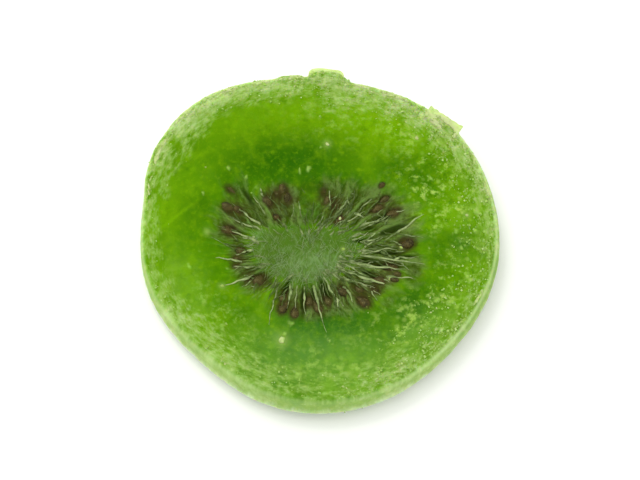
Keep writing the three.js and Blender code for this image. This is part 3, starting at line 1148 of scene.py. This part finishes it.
def seed_material():
    material, tree = new_material("seed shell")
    net = add_node(
        tree, "ShaderNodeTexVoronoi", {"Vector": object_place(tree), "Scale": 5.5 / MM},
        feature="DISTANCE_TO_EDGE",
    ).outputs["Distance"]
    ridge = ramp(tree, net, 0.0, 0.12, 1.0, 0.0)
    shell = blend(tree, plus(tree, mottled(tree, 1.1), ridge, 0.4), SEED_DARK, SEED_BROWN)
    finish_material(tree, {
        "Base Color": blend(tree, times(tree, stored(tree, "tone"), 0.75), shell, SEED_UNDER_JELLY),
        "Roughness": ramp(tree, mottled(tree, 2.0), 0.0, 1.0, 0.14, 0.3),
        "Normal": bumped(tree, ridge, 0.03),
        "Specular IOR Level": 0.5,
        "Specular Tint": (1.0, 0.9, 0.4, 1.0),
    })
    return material


seeds.data.materials.append(seed_material())

# %% [markdown]
# ## Threads
# Between the chambers run pale strings, the fruit's own fibres. Where the knife tore them they stand a
# little proud of the jelly, cross over the seeds and end in dried tips. The rows below are the ones that
# stand out: the bearing and the distance from the core's middle at which each starts, the same for its
# tip, how pale it is and how thick. The rest are strewn between them, more on the side where the band is
# widest. Each is a bar that is bent round its own wavy line, its spine.

# %% Fibres as bent bars
ROOT_DEPTH, PEAK_AT = 0.05, (0.3, 0.85)


def fibre_template(bm, sides, cuts):
    """A round bar of radius 1 from z = 0 to z = 1, cut into rings."""
    bmesh.ops.create_cone(bm, cap_ends=True, segments=sides, radius1=1, radius2=1, depth=1)
    bmesh.ops.translate(bm, verts=bm.verts[:], vec=(0, 0, 0.5))
    rising = [e for e in bm.edges if abs(e.verts[0].co.z - e.verts[1].co.z) > 0.5]
    bmesh.ops.subdivide_edges(bm, edges=rising, cuts=cuts)


def fibre_point(co, spine, wide, high):
    """A point of the bar, moved to its place round the spine, which gives a point for each 0 to 1."""
    here, ahead, behind = spine(co.z), spine(co.z + 0.02), spine(co.z - 0.02)
    along = (ahead - behind).normalized()
    side = along.cross(Vector((0, 0, 1))).normalized()
    return here + side * co.x * wide + side.cross(along) * co.y * high


def spine_of(start, end, above, chance, lift, sway):
    """A wavy, kinked line that leaves the face, arches over it and comes down again."""
    aside = Vector((start.y - end.y, end.x - start.x, 0)).normalized()
    length = (end - start).length
    bend, own = chance.gauss(0, sway), own_noise(chance)
    peak = chance.uniform(*PEAK_AT)
    side = 1 if above else -1

    def spine(t):
        kink = noise.noise(Vector((t * length * 0.5, own, 0)))
        kink += 0.4 * noise.noise(Vector((t * length * 1.3, own, 5)))
        spot = start.lerp(end, t) + aside * (bend * t * (1 - t) + 1.2 * sway * kink * min(1.0, 3 * t))
        arch = lift * (1 - ((t - peak) / max(peak, 1 - peak)) ** 2)
        spot.z = level(spot.x, spot.y, above) + side * (arch * (0.75 + 0.5 * kink) - ROOT_DEPTH)
        return spot

    return spine


# %% Make the threads
LONG_THREADS = (
    (-157, 8.2, -156, 13.5, 1.0, 1.0), (-129, 6.2, -115, 12.6, 0.7, 0.8), (-114, 5.2, -106, 9.0, 0.8, 1.1),
    (-75, 5.2, -75, 12.9, 0.8, 1.0), (-53, 4.8, -57, 9.8, 1.0, 1.5), (-56, 8.4, -60, 9.9, 0.9, 0.9),
    (20, 7.6, 16, 11.8, 0.7, 1.3), (9, 12.0, 19, 18.9, 0.9, 1.2), (-1, 7.4, -6, 18.0, 0.8, 1.1),
    (146, 8.0, 145, 11.9, 1.0, 1.4), (159, 7.8, 165, 9.6, 1.0, 1.5), (124, 11.0, 123, 12.9, 0.6, 1.0),
    (108, 5.8, 102, 8.1, 0.5, 0.9), (92, 5.4, 96, 8.4, 0.5, 0.8), (41, 9.9, 32, 11.4, 0.8, 1.1),
    (28, 8.4, 24, 16.8, 0.7, 1.1), (-12, 7.6, -10, 15.2, 0.8, 1.2), (-17, 12.6, -14, 16.6, 1.0, 1.4),
    (-25, 6.6, -22, 13.6, 0.8, 1.2), (-34, 6.4, -28, 11.8, 0.7, 1.2), (-102, 5.2, -99, 8.8, 0.7, 0.9),
    (-90, 5.2, -89, 9.6, 0.7, 0.9), (176, 7.6, -178, 10.2, 0.8, 1.1), (-165, 7.6, -168, 10.8, 0.6, 0.9),
    (62, 8.0, 70, 10.8, 0.6, 1.0), (52, 8.6, 54, 11.8, 0.7, 1.0), (133, 8.6, 129, 12.6, 0.6, 1.0),
    (168, 6.8, 162, 11.6, 1.0, 1.3), (150, 7.2, 153, 12.6, 0.9, 1.1), (-172, 9.4, -176, 13.6, 0.9, 1.1),
    (3, 8.2, 3, 13.8, 0.7, 1.0), (-5, 13.2, -2, 17.0, 0.8, 1.0), (-42, 8.4, -47, 10.8, 0.8, 1.0),
)
STREWN_THREADS, UNDER_THREADS = 200, 80
THREAD_WIDE, THREAD_HIGH, THREAD_TIP = 0.2, 0.045, 0.16
THREAD_LENGTH, SHORTEST_THREAD = (1.2, 4.6), 0.8
THREAD_LIFT, THREAD_LIFT_BELOW, THREAD_SWAY = (0.06, 0.24), (0.0, 0.08), 0.36
CORE_TONE = 0.38
BUSY_AT, BUSY_HALF_WIDTH = -4, 64
SPARSE_AT, SPARSE_HALF_WIDTH = -85, 26


def thread_rows(chance, strewn):
    """Rows for strewn threads: crowded where the band is widest, sparse below the core."""
    rows = []
    while len(rows) < strewn:
        bearing = chance.uniform(-180, 180)
        busy = hump(away_from(math.radians(bearing), BUSY_AT, BUSY_HALF_WIDTH))
        sparse = hump(away_from(math.radians(bearing), SPARSE_AT, SPARSE_HALF_WIDTH))
        if chance.random() > (0.3 + 0.7 * busy) * (1 - 0.8 * sparse):
            continue
        edge, end = reach_of(CORE, bearing), reach_of(BAND, bearing)
        start = mix(chance.random() ** 1.3, edge * 0.7, end * 0.85)
        end = min(start + chance.uniform(*THREAD_LENGTH), end * chance.uniform(0.85, 1.12))
        if end - start > SHORTEST_THREAD:
            size = chance.uniform(0.4, 1.0) * mix(busy, 0.8, 1.3)
            pale = chance.random() ** 2.4 * mix(busy, 0.5, 0.9)
            rows.append((bearing, start, bearing + chance.gauss(0, 5), end, pale, size))
    return rows


def thread_tone(t, spine, pale, own):
    """How pale a thread is at t from 0 to 1: patchy, paler to its tip, and one tone inside the core."""
    spot = spine(t) + MIDDLE
    in_core = 1 - smoothstep(in_oval(CORE, spot.x, spot.y)[0], 0.7, 1.3)
    patchy = 0.85 + 1.2 * noise.noise(Vector((t * 6, own, 3)))
    return mix(in_core, clamp(pale * mix(t, 0.6, 1.2) * patchy), CORE_TONE)


def thread_taper(t, own):
    """How thick a thread is at t from 0 to 1: lumpy, thin at its root and thinner at its tip."""
    swelling = 1 + 0.8 * noise.noise(Vector((t * 4, own, 0)))
    swelling += 0.7 * noise.noise(Vector((t * 9, own, 7)))
    return swelling * mix(t, 1.0, THREAD_TIP) * mix(smoothstep(t, 0.0, 0.15), 0.6, 1.0)


def make_threads():
    chance = random.Random(23)
    rows = [(row, True) for row in (*LONG_THREADS, *thread_rows(chance, STREWN_THREADS))]
    rows += [(row, False) for row in thread_rows(chance, UNDER_THREADS)]
    bm = bmesh.new()
    fibre_template(bm, 5, 9)
    tone = tone_layer(bm)
    groups = copies(bm, len(rows))
    for group, ((bearing, near, turned, far, pale, size), above) in zip(groups, rows):
        start, end = from_heart(bearing, near), from_heart(turned, far)
        lift = chance.uniform(*(THREAD_LIFT if above else THREAD_LIFT_BELOW))
        spine = spine_of(start, end, above, chance, lift, THREAD_SWAY)
        own = own_noise(chance)
        for vert in group:
            t = vert.co.z
            vert[tone] = thread_tone(t, spine, pale, own)
            taper = size * thread_taper(t, own)
            vert.co = fibre_point(vert.co, spine, THREAD_WIDE * taper, THREAD_HIGH * taper) * MM
    return to_object(bm, "threads")


threads = make_threads()

# %% The thread material
THREAD_PALE = srgb(160, 178, 118)
THREAD_GREEN = srgb(66, 86, 33)


def thread_material(name, low, high):
    material, tree = new_material(name)
    tone = plus(tree, stored(tree, "tone"), mottled(tree, 1.6), 0.35)
    finish_material(tree, {
        "Base Color": blend(tree, ramp(tree, tone, 0.1, 1.1), low, high),
        "Roughness": ramp(tree, grain(tree, 2.0), 0.3, 0.7, 0.4, 0.62),
        "Normal": bumped(tree, grain(tree, 6.0, 3, 0.6), 0.03),
        "Subsurface Weight": 0.4,
        "Subsurface Radius": (0.7, 1.0, 0.4),
        "Subsurface Scale": 0.25 * MM,
        "Specular IOR Level": 0.2,
        "Specular Tint": (0.8, 1.0, 0.5, 1.0),
    })
    return material


threads.data.materials.append(thread_material("dried threads", THREAD_GREEN, THREAD_PALE))

# %% [markdown]
# ## Fuzz on the core
# The core is a pith of fine cells, and its cut dries into short pale hairs that lie every way, though
# most lean outwards. Each is a three-sided sliver, too thin to need more.

# %% Make the fuzz
HAIRS, UNDER_HAIRS = 620, 240
HAIR_THICK, HAIR_LENGTH = 0.06, (0.7, 2.1)
HAIR_LIFT, HAIR_LIFT_BELOW, HAIR_SWAY = (0.02, 0.09), (0.0, 0.05), 0.15
HAIRS_LEAN, HAIRS_SPREAD, HAIRS_PAST_CORE = 68, 34, 1.05


def hair_start(chance):
    """A random place on the core."""
    while True:
        u, v = chance.uniform(-1, 1), chance.uniform(-1, 1)
        if math.hypot(u, v) < 1:
            break
    middle_x, middle_y, half_x, half_y, bend = CORE
    x = middle_x + u * half_x * HAIRS_PAST_CORE
    y = middle_y + v * half_y * HAIRS_PAST_CORE + bend * u * u
    return Vector((x, y, 0)) - Vector((MIDDLE.x, MIDDLE.y, 0))


def make_fuzz():
    chance = random.Random(31)
    bm = bmesh.new()
    fibre_template(bm, 3, 3)
    tone = tone_layer(bm)
    groups = copies(bm, HAIRS + UNDER_HAIRS)
    for index, group in enumerate(groups):
        above = index < HAIRS
        start = hair_start(chance)
        _, outward = from_mid_line(start.x, start.y)
        lean = math.radians(chance.gauss(HAIRS_LEAN, HAIRS_SPREAD) + chance.choice((0, 180)))
        heading = chance.choice((lean, lean, outward + chance.gauss(0, 0.8)))
        end = start + chance.uniform(*HAIR_LENGTH) * Vector((math.cos(heading), math.sin(heading), 0))
        lift = chance.uniform(*(HAIR_LIFT if above else HAIR_LIFT_BELOW))
        spine = spine_of(start, end, above, chance, lift, HAIR_SWAY)
        thick = HAIR_THICK * chance.uniform(0.6, 1.2)
        pale = patch_at(PITH, start.x, start.y) * 0.5 + chance.uniform(0.05, 0.6)
        for vert in group:
            vert[tone] = pale
            thin = thick * (1 - 0.7 * vert.co.z)
            vert.co = fibre_point(vert.co, spine, thin, thin) * MM
    return to_object(bm, "fuzz")


fuzz = make_fuzz()

# %% The fuzz material
HAIR_PALE = srgb(138, 168, 104)
HAIR_GREEN = srgb(84, 118, 42)
fuzz.data.materials.append(thread_material("pith hairs", HAIR_GREEN, HAIR_PALE))

# %% [markdown]
# ## Crust flakes
# Along the rim the dried sugar has lifted in thin ragged scales that lie over the edge like shingles. Each
# row is one: its bearing and its half width in degrees, how far it reaches in and out from the edge in
# millimetres, and how ragged it is. A small grid is bent along the rim for each one, given a ragged
# outline, and all are made solid at once. The square tab on top is the first row. The blade at the upper
# right is straight, so it is laid between four corners instead.

# %% Make the crust flakes
FLAKES = (
    (86.8, 6.6, -1.1, 2.15, 0.06), (99, 4.6, 0.6, 0.75, 0.6), (110, 3.2, 0.7, 0.3, 1.0),
    (73, 3.6, 0.9, 0.35, 1.0), (61, 5.0, 0.9, 0.35, 0.9), (47, 7.5, 0.8, 0.75, 0.4),
    (28, 4.0, 0.7, 0.3, 1.0), (14, 3.2, 0.6, 0.25, 1.0), (121, 3.4, 0.6, 0.3, 1.0),
    (138, 3.8, 0.8, 0.4, 1.0), (152, 4.6, 1.0, 0.6, 0.8), (164, 3.4, 0.7, 0.4, 1.0),
    (-24, 3.0, 0.6, 0.25, 1.0),
)
TAB, TAB_LIFT, BLADE = 0, 0.34, 5
BLADE_CORNERS, BLADE_LIFT = ((15.6, 18.7), (20.2, 15.0), (16.9, 20.4), (21.7, 16.9)), 0.5
TAB_SQUARE, FLAKE_ROUND = 7, 3.5
ROOT_INSIDE, TIP_INSIDE = 0.3, 0.1
ROOT_LIFT, TIP_LIFT, FLAKE_CURL = -0.14, 0.1, 0.12
ROOT_SINK, TIP_DROOP = 0.14, 0.22
BLADE_ROOT, BLADE_FURROW = -0.1, 0.06
FLAKE_THICK = 0.1
FLAKE_GRID = (28, 8)


def tattered(along, coarse, fine, row, own):
    """Noise at two sizes along an edge, from about -1.5 to 1.5, for a torn outline."""
    broad = noise.noise(Vector((along * coarse, row, 0)) + own)
    return broad + 0.5 * noise.noise(Vector((along * fine, row + 9, 0)) + own)


def flake_point(co, row, index):
    """A point of a grid from -1 to 1 each way, bent along the rim; y = 1 is the flake's outer edge."""
    bearing, half_width, reach_in, reach_out, ragged = row
    own = Vector((index * 3.7, index * 1.3, 0))
    round_off = (1 - abs(co.x) ** (TAB_SQUARE if index == TAB else FLAKE_ROUND)) ** 0.6
    angle = math.radians(bearing + half_width * co.x)
    edge = edge_point(angle, 1).length - scrap_at(FACE_EDGE, 1, angle)[0]
    inner = reach_in * (1 + ragged * tattered(co.x, 2.4, 7.0, 20, own)) * round_off
    outer = reach_out * (1 + 0.8 * ragged * tattered(co.x, 2.0, 6.0, 0, own)) * round_off
    out_share = (co.y + 1) / 2
    outward = mix(out_share, -inner - ROOT_INSIDE, outer - TIP_INSIDE)
    spot = Vector((math.cos(angle), math.sin(angle), 0)) * (edge + outward)
    across = min((edge + outward) / outline(angle), FACE_EDGE)
    z = face_height(spot.x, spot.y, across, angle) + scrap_at(FACE_EDGE, 1, angle)[1]
    curl = FLAKE_CURL * noise.noise(Vector((co.x * 2.2, co.y * 1.2, index * 5.1 + 2)))
    sink = ROOT_SINK * clamp(-outward) + TIP_DROOP * max(0.0, outward) ** 1.5
    if index == TAB:
        sink -= TAB_LIFT * smoothstep(co.y, -0.6, 0.2)
    lift = mix(out_share, ROOT_LIFT, TIP_LIFT) + curl * out_share
    return Vector((spot.x - MIDDLE.x, spot.y - MIDDLE.y, z + lift - sink))


def blade_point(co, index):
    """A point of the same grid, laid as a straight ragged strip that sticks out past the edge."""
    inner_left, inner_right, outer_left, outer_right = (Vector((*xy, 0)) for xy in BLADE_CORNERS)
    ragged = 0.1 * noise.noise(Vector((co.x * 3.0, co.y * 0.8, index))) + 0.03 * noise.noise(co * 6.0)
    across = (co.y + 1) / 2 * (1 + ragged)
    start, end = inner_left.lerp(outer_left, across), inner_right.lerp(outer_right, across)
    spot = start.lerp(end, (co.x + 1) / 2)
    furrow = BLADE_FURROW * math.sin(9 * across + 2 * noise.noise(co * 1.5))
    spot.z = level(spot.x, spot.y, True) + mix(across, BLADE_ROOT, BLADE_LIFT) + furrow
    return spot


def make_crust():
    bm = bmesh.new()
    bmesh.ops.create_grid(bm, x_segments=FLAKE_GRID[0], y_segments=FLAKE_GRID[1], size=1)
    tone = tone_layer(bm)
    for index, (group, row) in enumerate(zip(copies(bm, len(FLAKES)), FLAKES)):
        for vert in group:
            vert[tone] = 1.0 if index in (TAB, BLADE) else 0.0
            if index == BLADE:
                vert.co = blade_point(vert.co, index) * MM
            else:
                vert.co = flake_point(vert.co, row, index) * MM
    bmesh.ops.solidify(bm, geom=bm.faces[:], thickness=FLAKE_THICK * MM)
    bmesh.ops.recalc_face_normals(bm, faces=bm.faces[:])
    return to_object(bm, "crust")


crust = make_crust()

# %% The crust material
CRUST_GREEN = srgb(140, 176, 66)
CRUST_PALE = srgb(194, 216, 140)


def crust_material():
    material, tree = new_material("dried crust")
    film = plus(tree, ramp(tree, mottled(tree, 0.5), 0.0, 1.0, 0.4, 1.0), stored(tree, "tone"), 0.5)
    film_mask, grit_mask, height = frosted(tree, film, mottled(tree, 0.8))
    colour = blend(tree, film_mask, CRUST_GREEN, CRUST_PALE)
    finish_material(tree, {
        "Base Color": blend(tree, grit_mask, colour, GRIT_PALE),
        "Roughness": ramp(tree, grain(tree, 1.4), 0.3, 0.7, 0.45, 0.7),
        "Normal": bumped(tree, height, 0.1),
        "Subsurface Weight": 0.5,
        "Subsurface Radius": (0.6, 1.0, 0.25),
        "Subsurface Scale": 0.6 * MM,
        "Specular IOR Level": 0.3,
    })
    return material


crust.data.materials.append(crust_material())

# %% [markdown]
# ## Clots of sugar
# The large clots are smooth lumps, sunk a little in the skin, on the rows that were given above; the few
# rows that stand for glints are pale lumps as painted highlights. Smaller lumps are strewn over the rim
# and, thinly, over the jelly. Each is a ball that is pressed flat, turned and made uneven by noise.

# %% Make the clots
STREWN_CLOTS, CLOTS_ON_JELLY = 50, 0.004
CLOT_SMALL, CLOT_LARGE, CLOT_FLATNESS, CLOT_LUMPS = 0.2, 0.45, 0.3, 0.3


def clot_rows(chance):
    rows = []
    while len(rows) < STREWN_CLOTS:
        angle, across = chance.uniform(-math.pi, math.pi), math.sqrt(chance.uniform(0.1, 0.93))
        radius = across * outline(angle)
        x, y = radius * math.cos(angle) - MIDDLE.x, radius * math.sin(angle) - MIDDLE.y
        outside = 1 - band_share(x + MIDDLE.x, y + MIDDLE.y)[0]
        if chance.random() < CLOTS_ON_JELLY * outside + grit_at(x, y, across, angle, 0):
            rows.append((x, y, mix(chance.random() ** 1.6, CLOT_SMALL, CLOT_LARGE), 0.0))
    return rows


def make_clots():
    chance = random.Random(61)
    rows = [*CLOTS_AND_GLINTS, *clot_rows(chance)]
    bm = bmesh.new()
    bmesh.ops.create_icosphere(bm, subdivisions=3, radius=0.5)
    tone = tone_layer(bm)
    for group, (x, y, size, lift) in zip(copies(bm, len(rows)), rows):
        turn = Matrix.Rotation(chance.uniform(0, math.tau), 3, "Z")
        long, wide = size * chance.uniform(0.9, 1.3), size * chance.uniform(0.7, 0.95)
        stretch = Matrix.Diagonal((long, wide, CLOT_FLATNESS * size))
        own = Vector((own_noise(chance), 0, 0))
        white = chance.uniform(0.0, 0.8)
        for vert in group:
            vert[tone] = white
            lump = vert.co * (1 + CLOT_LUMPS * noise.noise(vert.co * 3.0 + own))
            vert.co = (Vector((x, y, level(x, y, True) + lift)) + turn @ (stretch @ lump)) * MM
    return to_object(bm, "clots")


clots = make_clots()

# %% The clot material
# The lumps that stand for glints take these colours too, as painted highlights.
CLOT_GREEN = srgb(132, 170, 52)
CLOT_AND_GLINT_WHITE = srgb(188, 204, 132)


def clot_material():
    material, tree = new_material("sugar clots")
    tone = plus(tree, stored(tree, "tone"), mottled(tree, 1.4), 0.5)
    finish_material(tree, {
        "Base Color": blend(tree, ramp(tree, tone, 0.0, 1.3), CLOT_GREEN, CLOT_AND_GLINT_WHITE),
        "Roughness": ramp(tree, grain(tree, 2.4), 0.3, 0.7, 0.3, 0.5),
        "Normal": bumped(tree, grain(tree, 5.0, 3, 0.6), 0.04),
        "Subsurface Weight": 0.7,
        "Subsurface Radius": (0.7, 1.0, 0.3),
        "Subsurface Scale": 0.5 * MM,
        "Specular IOR Level": 0.3,
    })
    return material


clots.data.materials.append(clot_material())

# %% [markdown]
# ## Grains of sugar
# The grit is real crystals, small blocks a tenth to a third of a millimetre across. They are strewn over
# the skin's own faces, the more the larger the face and the denser the grit stored there, so that the
# cut faces, the wall and the underside are all served by one rule. Spinning lists the faces in another
# order each time, so they are sorted first.

# %% Strew the sugar
GRAINS = 2700
GRAIN_SMALL, GRAIN_LARGE, GRAIN_STRAY, GRAIN_LIFT = 0.09, 0.27, 0.12, 0.15
GRAIN_REACH = 0.9
TOP_LIMIT = CAD_BOX[1][2] / MM + 0.1
LONE_SHARE, FILM_SHARE = 0.0004, 0.2


def wall_share(polygon):
    """1 on a cut face, little on the wall."""
    return mix(abs(polygon.normal.z), GRIT_ON_WALL, 1.0)


def sugar_weight(polygon, film, grit):
    """How likely a face is to hold a grain, by its size and by the film and grit stored there."""
    first = polygon.vertices[0]
    strewn = grit[first].value + FILM_SHARE * film[first].value ** 2
    return polygon.area * (strewn * wall_share(polygon) ** 4 + LONE_SHARE)


def grain_shape(chance, size):
    """A matrix that turns the unit cube into a crystal: squashed, and turned any way."""
    stretch = Matrix.Diagonal([size * chance.uniform(0.6, 1.4) for _ in range(3)])
    spin = Matrix.Rotation(chance.uniform(0, math.tau), 3, "Z")
    tumble = Matrix.Rotation(chance.uniform(0, math.tau), 3, "X")
    return spin @ tumble @ stretch


def grain_spots(chance):
    """Where the grains lie, and how large they are, without those that would stick out of the box."""
    mesh = flesh.data
    film, grit = (mesh.attributes[name].data for name in ("film", "grit"))
    faces = sorted(mesh.polygons, key=lambda face: tuple(face.vertices))
    weights = [sugar_weight(face, film, grit) for face in faces]
    spots = []
    for polygon in chance.choices(faces, weights, k=GRAINS):
        size = GRAIN_SMALL * (GRAIN_LARGE / GRAIN_SMALL) ** (chance.random() ** 2.2)
        stray = Vector([chance.gauss(0, GRAIN_STRAY) for _ in range(3)])
        flat = stray - polygon.normal * stray.dot(polygon.normal)
        spots.append((polygon.center / MM + flat + polygon.normal * size * GRAIN_LIFT, size))
    return [(s, size) for s, size in spots if size * GRAIN_REACH < s.z < TOP_LIMIT - size * GRAIN_REACH]


def make_sugar():
    chance = random.Random(47)
    spots = grain_spots(chance)
    bm = bmesh.new()
    bmesh.ops.create_cube(bm, size=1)
    tone = tone_layer(bm)
    for group, (spot, size) in zip(copies(bm, len(spots)), spots):
        shape, white = grain_shape(chance, size), chance.random() ** 5
        for vert in group:
            vert[tone] = white
            vert.co = (spot + shape @ vert.co) * MM
    return to_object(bm, "sugar", smooth=False)


sugar = make_sugar()

# %% The sugar material
SUGAR_WHITE = srgb(192, 214, 138)
SUGAR_GREEN = srgb(148, 186, 80)


def sugar_material():
    material, tree = new_material("sugar crystals")
    tone = plus(tree, stored(tree, "tone"), mottled(tree, 1.4), 0.4)
    finish_material(tree, {
        "Base Color": blend(tree, ramp(tree, tone, 0.15, 1.2), SUGAR_GREEN, SUGAR_WHITE),
        "Roughness": ramp(tree, grain(tree, 3.0), 0.3, 0.7, 0.3, 0.5),
        "Normal": bumped(tree, grain(tree, 9.0, 3, 0.6), 0.01),
        "Specular IOR Level": 0.2,
        "Specular Tint": (0.9, 1.0, 0.4, 1.0),
        "Subsurface Weight": 0.3,
        "Subsurface Radius": (0.8, 1.0, 0.6),
        "Subsurface Scale": 0.2 * MM,
    })
    return material


sugar.data.materials.append(sugar_material())

# %% [markdown]
# ## Floor, light and camera
# A plain white floor, a pale sky all round, one large soft light, and a small weak one that wet seeds
# and sugar glint in. Both lights come from behind, a little to the left, so that the rim's far side
# glitters and the shadow falls towards the camera. The camera looks down steeply at the cut face, through
# a long lens, so that the slice keeps its outline.

# %% The floor
FLOOR_HALF, FLOOR_DROP = 1.5, 0.02 * MM
FLOOR_WHITE = srgb(252, 252, 251)
FLOOR_GREY = srgb(249, 249, 247)


def make_floor():
    bm = bmesh.new()
    bmesh.ops.create_grid(bm, x_segments=1, y_segments=1, size=FLOOR_HALF)
    bmesh.ops.translate(bm, verts=bm.verts[:], vec=(0, 0, -FLOOR_DROP))
    mesh = bpy.data.meshes.new("floor")
    bm.to_mesh(mesh)
    bm.free()
    floor = bpy.data.objects.new("floor", mesh)
    bpy.context.scene.collection.objects.link(floor)
    material, tree = new_material("white table")
    tone = blend(tree, grain(tree, 0.02), FLOOR_GREY, FLOOR_WHITE)
    finish_material(tree, {"Base Color": tone, "Roughness": 0.6, "Specular IOR Level": 0.2})
    mesh.materials.append(material)


make_floor()

# %% The sky and the lights
SKY_STRENGTH = 1.0
KEY_LIGHT = ("key", (-0.22, 0.22, 0.5), 0.45, 1.3)
GLINT_LIGHT = ("glint", (-0.1, 0.16, 0.45), 0.035, 0.12)


def soft_light(name, at, size, watts):
    """A square lamp, size metres wide, that looks at the slice."""
    data = bpy.data.lights.new(name, "AREA")
    data.size = size
    data.energy = watts
    lamp = bpy.data.objects.new(name, data)
    lamp.location = at
    lamp.rotation_euler = (-Vector(at)).to_track_quat("-Z", "Y").to_euler()
    bpy.context.scene.collection.objects.link(lamp)
    print(name, "light is", round(Vector(at).length, 2), "m away")


def make_sky():
    world = bpy.data.worlds.new("pale sky")
    world.use_nodes = True
    background = world.node_tree.nodes["Background"]
    background.inputs[0].default_value = (1, 1, 1, 1)
    background.inputs[1].default_value = SKY_STRENGTH
    bpy.context.scene.world = world
    bpy.context.scene.view_settings.view_transform = "Standard"


make_sky()
soft_light(*KEY_LIGHT)
soft_light(*GLINT_LIGHT)

# %% The camera
CAMERA_ELEVATION = math.radians(70)
CAMERA_DISTANCE = 0.3
LENS, NEAREST_SEEN = 112, 0.01


def make_camera():
    target = Vector((0, 0, THICKNESS / 2 * MM))
    offset = Vector((0, -math.cos(CAMERA_ELEVATION), math.sin(CAMERA_ELEVATION))) * CAMERA_DISTANCE
    data = bpy.data.cameras.new("camera")
    data.lens = LENS
    data.clip_start = NEAREST_SEEN
    camera = bpy.data.objects.new("camera", data)
    camera.location = target + offset
    camera.rotation_euler = (-offset).to_track_quat("-Z", "Y").to_euler()
    bpy.context.scene.collection.objects.link(camera)
    bpy.context.scene.camera = camera


make_camera()
